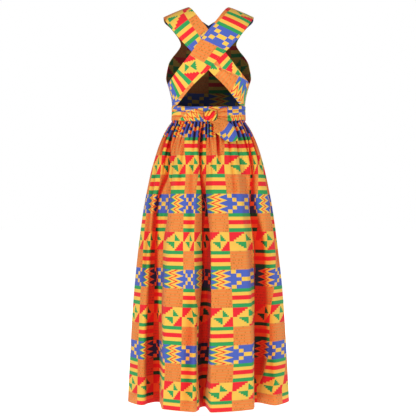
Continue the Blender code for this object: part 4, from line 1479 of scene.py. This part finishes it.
def tie_point(table, place, across):
    """A point on a tie over the waistband, and the painted shade there. Place runs along its table, across goes down.
    """
    last = len(table) - 1
    here = min(int(place), last - 1)
    near = [table[min(max(here + k, 0), last)] for k in (-1, 0, 1, 2)]
    x, top, bottom = (catmull(*values, place - here) for values in zip(*near))
    angle = math.degrees(math.asin(x / WAIST_HALF_WIDTH))
    share = place / last
    top = BAND_TOP - band_dip(angle) - top
    bottom = BAND_TOP - BAND_HEIGHT - band_dip(angle) + bottom
    uneven = PLEAT_SHIFT * math.sin(2 * math.pi * across)
    fold = abs(math.sin(math.pi * (SASH_PLEATS * across + uneven))) ** PLEAT_FULLNESS
    drawn = float(ease(share / DRAWN_FROM))
    folds = SASH_PLEAT_RISE * drawn * fold
    swell = SASH_KNOT_SWELL * share**SWELL_POWER * math.sin(math.pi * across)
    # Painted shade: the pleats' valleys are darker, less so where the tie is not yet drawn together.
    tie_painted_shade = TIE_SHADE * (1 - fold) ** 2 * blend(1 - DRAWN_SHADE, 1, drawn)
    return (*waist_point(angle, blend(top, bottom, across), LAYER + TIE_EASE + folds + swell), tie_painted_shade)


ties, tie_grids = {}, {}
for name, table, layers, hand in (
    ("sash_left", SASH_LEFT, LEFT_LAYERS, 1),
    ("sash_right", SASH_RIGHT, RIGHT_LAYERS, -1),
):
    places = np.arange((len(table) - 1) * SASH_STEPS + 1) / SASH_STEPS
    shares = np.arange(SASH_COLUMNS + 1) / SASH_COLUMNS
    made = np.array([[tie_point(table, place, share) for share in shares] for place in places])
    points, tie_painted_shade = made[..., :3], made[..., 3]
    along = lengths_along(points, 0)[:, SASH_COLUMNS // 2]
    across_tie = lengths_along(points, 1)
    metres = np.stack((np.broadcast_to(along[:, None], across_tie.shape), across_tie), axis=2)
    if name == "sash_right":
        points, metres, tie_painted_shade = points[:, ::-1], metres[:, ::-1], tie_painted_shade[:, ::-1]
    tie_grids[name] = points, metres
    ties[name] = walled(open_cloth(name + "_cloth", points, laid_in_layers(metres, layers, hand), shade=tie_painted_shade))
    print(name, "in metres long:", round(float(along[-1]), 3))

# %% [markdown]
# ## Knot
# The knot is one turn of the sash round itself: a tube of cloth that lies across, full in the middle and drawn in at
# both ends, with folds that run round it at a slant.

# %% Knot
KNOT_RINGS = 56
KNOT_SEGMENTS = 96
KNOT_FULLNESS = 0.5
KNOT_FOLDS = 3.5
KNOT_FOLD_SHARPNESS = 3
KNOT_FOLD_DEPTH = 0.13
KNOT_TWIST = 0.9
KNOT_END = 0.06
KNOT_SHADE = 0.9
KNOT_CLOTH = 0.0006
KNOT_LAY = Lay(45.0, -0.0084, 0.1715)


def knot_centre():
    angle = math.degrees(math.asin(KNOT_X / through(FORM, "half_width", KNOT_Z)))
    return waist_point(angle, KNOT_Z, LAYER + KNOT_HALF.y)


centre_of_knot = knot_centre()
knot_rows = []
for segment in range(KNOT_SEGMENTS + 1):
    around = math.pi + 2 * math.pi * segment / KNOT_SEGMENTS
    row = []
    for ring in range(KNOT_RINGS + 1):
        turn = math.pi * blend(KNOT_END, 1 - KNOT_END, ring / KNOT_RINGS)
        across_knot = -math.cos(turn)
        size = math.sin(turn) ** KNOT_FULLNESS
        folds = KNOT_FOLDS * across_knot / 2 + KNOT_TWIST * math.sin(around)
        fold = abs(math.cos(math.pi * folds)) ** KNOT_FOLD_SHARPNESS
        size *= 1 - KNOT_FOLD_DEPTH * fold
        reach = (across_knot, -math.cos(around) * size, -math.sin(around) * size)
        # Painted shade: the fourth value darkens the cloth in the knot's folds.
        row.append((*(centre_of_knot[k] + KNOT_HALF[k] * reach[k] for k in range(3)), KNOT_SHADE * fold))
    knot_rows.append(row)
knot_made = np.array(knot_rows)[::-1]
knot_points = knot_made[..., :3]
knot_metres = np.stack((lengths_along(knot_points, 1), -lengths_along(knot_points, 0)), axis=2)
knot_cloth = open_cloth("sash_knot_cloth", knot_points, laid(knot_metres, KNOT_LAY), shade=knot_made[..., 3])
knot = walled(knot_cloth, thickness=KNOT_CLOTH)

# %% [markdown]
# ## Hanging end
# One end of the sash comes out from under the knot and spreads to a short square end over the gathers.

# %% Hanging end
Tail = namedtuple("Tail", "left_x left_z right_x right_z stand")
TAIL = [
    Tail(0.0185, -0.4080, 0.0570, -0.3905, 0.012),
    Tail(0.0190, -0.4230, 0.0820, -0.4080, 0.012),
    Tail(0.0220, -0.4350, 0.0960, -0.4340, 0.012),
    Tail(0.0300, -0.4400, 0.1010, -0.4630, 0.012),
]
TAIL_START_ANGLE, TAIL_END_ANGLE = -105.0, -22.0
TAIL_COLUMNS = 40
TAIL_STEPS = 10
TAIL_SAG = 0.014
TAIL_WAVE = 0.0045
TAIL_WAVES = 1.5
TAIL_LAY = Lay(20.0, 0.110, 0.131)


def skirt_back(z):
    """How far back the skirt reaches at a height, without its gathers."""
    return through(SKIRT_LEVELS, "half_depth", BAND_TOP - BAND_HEIGHT - z)


tail_top = []
for i in range(TAIL_COLUMNS + 1):
    around = math.radians(blend(TAIL_START_ANGLE, TAIL_END_ANGLE, i / TAIL_COLUMNS))
    below = -(KNOT_HALF.z + SEAM_GAP) * abs(math.sin(around)) ** KNOT_FULLNESS
    tail_top.append(tuple(knot_centre() + Vector(((KNOT_HALF.x + SEAM_GAP) * math.cos(around), 0, below))))
tail_sections = [tail_top]
for number, row in enumerate(TAIL, 1):
    section = []
    for i in range(TAIL_COLUMNS + 1):
        t = i / TAIL_COLUMNS
        grown = number / len(TAIL)
        z = blend(row.left_z, row.right_z, t) - TAIL_SAG * math.sin(math.pi * t) * grown
        wave = TAIL_WAVE * math.sin(2 * math.pi * TAIL_WAVES * t) * grown
        section.append((blend(row.left_x, row.right_x, t), -(skirt_back(z) + row.stand + wave), z))
    tail_sections.append(section)
sections = np.array(tail_sections)
tail_rows = []
for place in np.arange(len(TAIL) * TAIL_STEPS + 1) / TAIL_STEPS:
    here = min(int(place), len(TAIL) - 1)
    near = [sections[min(max(here + k, 0), len(TAIL))] for k in (-1, 0, 1, 2)]
    tail_rows.append(catmull(*near, place - here))
tail_points = np.array(tail_rows)
tail_metres = np.stack((lengths_along(tail_points, 1), lengths_along(tail_points, 0)), axis=2)
tail_points, tail_metres = tail_points[::-1], tail_metres[::-1]
tail = walled(open_cloth("sash_tail_cloth", tail_points, laid(tail_metres, TAIL_LAY)), inward=True)

# %% [markdown]
# ## Stitches
# A lockstitch shows as short, slightly sunk dashes of thread in a row. The hem, the neck, the armholes and the long
# edges of the straps are turned once and stitched down, 6 mm or 20 mm in from the edge. Every row follows one rule, so
# Geometry Nodes set the stitches: they take a line over the cloth and put a small rounded dash on it at every pitch.

# %% The stitching tree
stitching = bpy.data.node_groups.new("Stitches", "GeometryNodeTree")
stitching.interface.new_socket("Geometry", in_out="INPUT", socket_type="NodeSocketGeometry")
STITCH_SETTINGS = [
    Setting("Pitch", "NodeSocketFloat", 0.0036),
    Setting("Length", "NodeSocketFloat", 0.0013),
    Setting("Thickness", "NodeSocketFloat", 0.00030),
    Setting("Thread", "NodeSocketMaterial", THREAD_FINISH),
]
for setting in STITCH_SETTINGS:
    stitching.interface.new_socket(setting.name, in_out="INPUT", socket_type=setting.kind)
stitching.interface.new_socket("Geometry", in_out="OUTPUT", socket_type="NodeSocketGeometry")

DASH_SEGMENTS, DASH_RINGS = 6, 4

given = add(stitching, "NodeGroupInput").outputs
line = add(stitching, "GeometryNodeMeshToCurve", given["Geometry"])
dots = add(stitching, "GeometryNodeCurveToPoints", line, given["Pitch"], mode="LENGTH")
along_line = add(stitching, "FunctionNodeAlignRotationToVector", None, 1.0, dots.outputs["Tangent"], axis="X")
dash = add(stitching, "GeometryNodeMeshUVSphere", DASH_SEGMENTS, DASH_RINGS, 1.0)
shape = add(stitching, "ShaderNodeCombineXYZ", given["Length"], given["Thickness"], given["Thickness"])
dash = add(stitching, "GeometryNodeTransform", dash)
stitching.links.new(shape.outputs[0], dash.inputs["Scale"])
row_of_stitches = add(stitching, "GeometryNodeInstanceOnPoints", dots.outputs["Points"], None, dash)
stitching.links.new(along_line.outputs[0], row_of_stitches.inputs["Rotation"])
row_of_stitches = add(stitching, "GeometryNodeRealizeInstances", row_of_stitches)
row_of_stitches = add(stitching, "GeometryNodeSetMaterial", row_of_stitches, None, given["Thread"])
add(stitching, "NodeGroupOutput", row_of_stitches)
print("nodes in the stitching tree:", len(stitching.nodes))

# %% [markdown]
# Each line is taken from the rows or columns of the piece that it holds, so it lies on the cloth with all its folds.

# %% Rows of stitches
HEM_TURN = 0.020
STRAP_EDGE_COLUMNS = 6
NECK_STITCH_ROW = -4
ARMHOLE_STITCH_ROW = 15
ARMHOLE_STITCH_COLUMNS = {"right": 2, "left": -3}
THREAD_SINK = 0.0001


def line_of_stitches(name, points, closed=False):
    """Stitches along a line of points."""
    count = len(points)
    steps = [(i, (i + 1) % count) for i in range(count if closed else count - 1)]
    mesh = bpy.data.meshes.new(name)
    mesh.from_pydata([tuple(p) for p in points], steps, [])
    piece = bpy.data.objects.new(name, mesh)
    scene.collection.objects.link(piece)
    with_inputs(piece, stitching, STITCH_SETTINGS)
    return made_plain(piece)


hem_row = int(np.argmin(np.abs(skirt_drops - (SKIRT_LENGTH - HEM_TURN))))
skirt_face = skirt_points + way_out(skirt_points, True) * (CLOTH - THREAD_SINK)
front_face = front_points + way_out(front_points, False) * (CLOTH - THREAD_SINK)
neck_face = front_face[NECK_STITCH_ROW, SHOULDER_COLUMNS:-SHOULDER_COLUMNS]
stitches = {"hem": (skirt_face[hem_row], True), "neck": (neck_face, False)}
for side, column in ARMHOLE_STITCH_COLUMNS.items():
    stitches["armhole_" + side] = (front_face[ARMHOLE_STITCH_ROW:, column], False)
for name, points in strap_edges.items():
    for side, column in (("first", STRAP_EDGE_COLUMNS), ("second", STRAP_COLUMNS - STRAP_EDGE_COLUMNS)):
        stitches[name + "_" + side] = (points[2:-2, column], False)
stitch_rows = [line_of_stitches("stitches_" + name, *line) for name, line in stitches.items()]
for row in stitch_rows:
    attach(row, "root")
print("rows of stitches:", len(stitch_rows), "faces:", sum(len(row.data.polygons) for row in stitch_rows))

# %% [markdown]
# ## Onto the frame
# Each piece of cloth rides on the dress's one body, stands for its own solid, and says the size that it was cut to.
# Ties are cut wider than they lie, because their folds take up cloth.

# %% Onto the frame
def area_of(points, closed=False):
    """Area of a grid of points."""
    if closed:
        points = np.concatenate((points, points[:, :1]), axis=1)
    crossed = np.cross(points[1:, 1:] - points[:-1, :-1], points[:-1, 1:] - points[1:, :-1])
    return float(np.linalg.norm(crossed, axis=2).sum() / 2)


strap_grids = [(points, strap_metres(points)) for points in (over_points, under_points)]
Sewn = namedtuple("Sewn", "cloth node points metres closed held rests_on")
SEWN = [
    Sewn(skirt, "skirt", skirt_points, skirt_cloth, True, "gathered", "waistband"),
    Sewn(front_bodice, "front_bodice", front_points, front_metres, False, "hung", "waistband"),
    Sewn(straps["strap_over"], "strap_over", *strap_grids[0], False, "stretched", "front_bodice"),
    Sewn(straps["strap_under"], "strap_under", *strap_grids[1], False, "stretched", "front_bodice"),
    Sewn(waistband, "waistband", band_points, band_metres, True, "stretched", "front_bodice"),
    Sewn(ties["sash_left"], "sash_left", *tie_grids["sash_left"], False, "folded", "waistband"),
    Sewn(ties["sash_right"], "sash_right", *tie_grids["sash_right"], False, "folded", "waistband"),
    Sewn(knot, "sash_knot", knot_points, knot_metres, False, "folded", "waistband"),
    Sewn(tail, "sash_tail", tail_points, tail_metres, False, "draped", "skirt"),
]
for sewn in SEWN:
    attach(sewn.cloth, "root")
    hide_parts(sewn.node)
    width, length = (float(np.ptp(sewn.metres[..., axis])) for axis in (0, 1))
    if sewn.node == "skirt":
        width, cut = hem_length, hem_length * SKIRT_LENGTH
    else:
        cut = min(area_of(sewn.points, sewn.closed), width * length)
    print(f"{sewn.node}: cut {width:.3f} x {length:.3f} m, {cut:.4f} square metres")
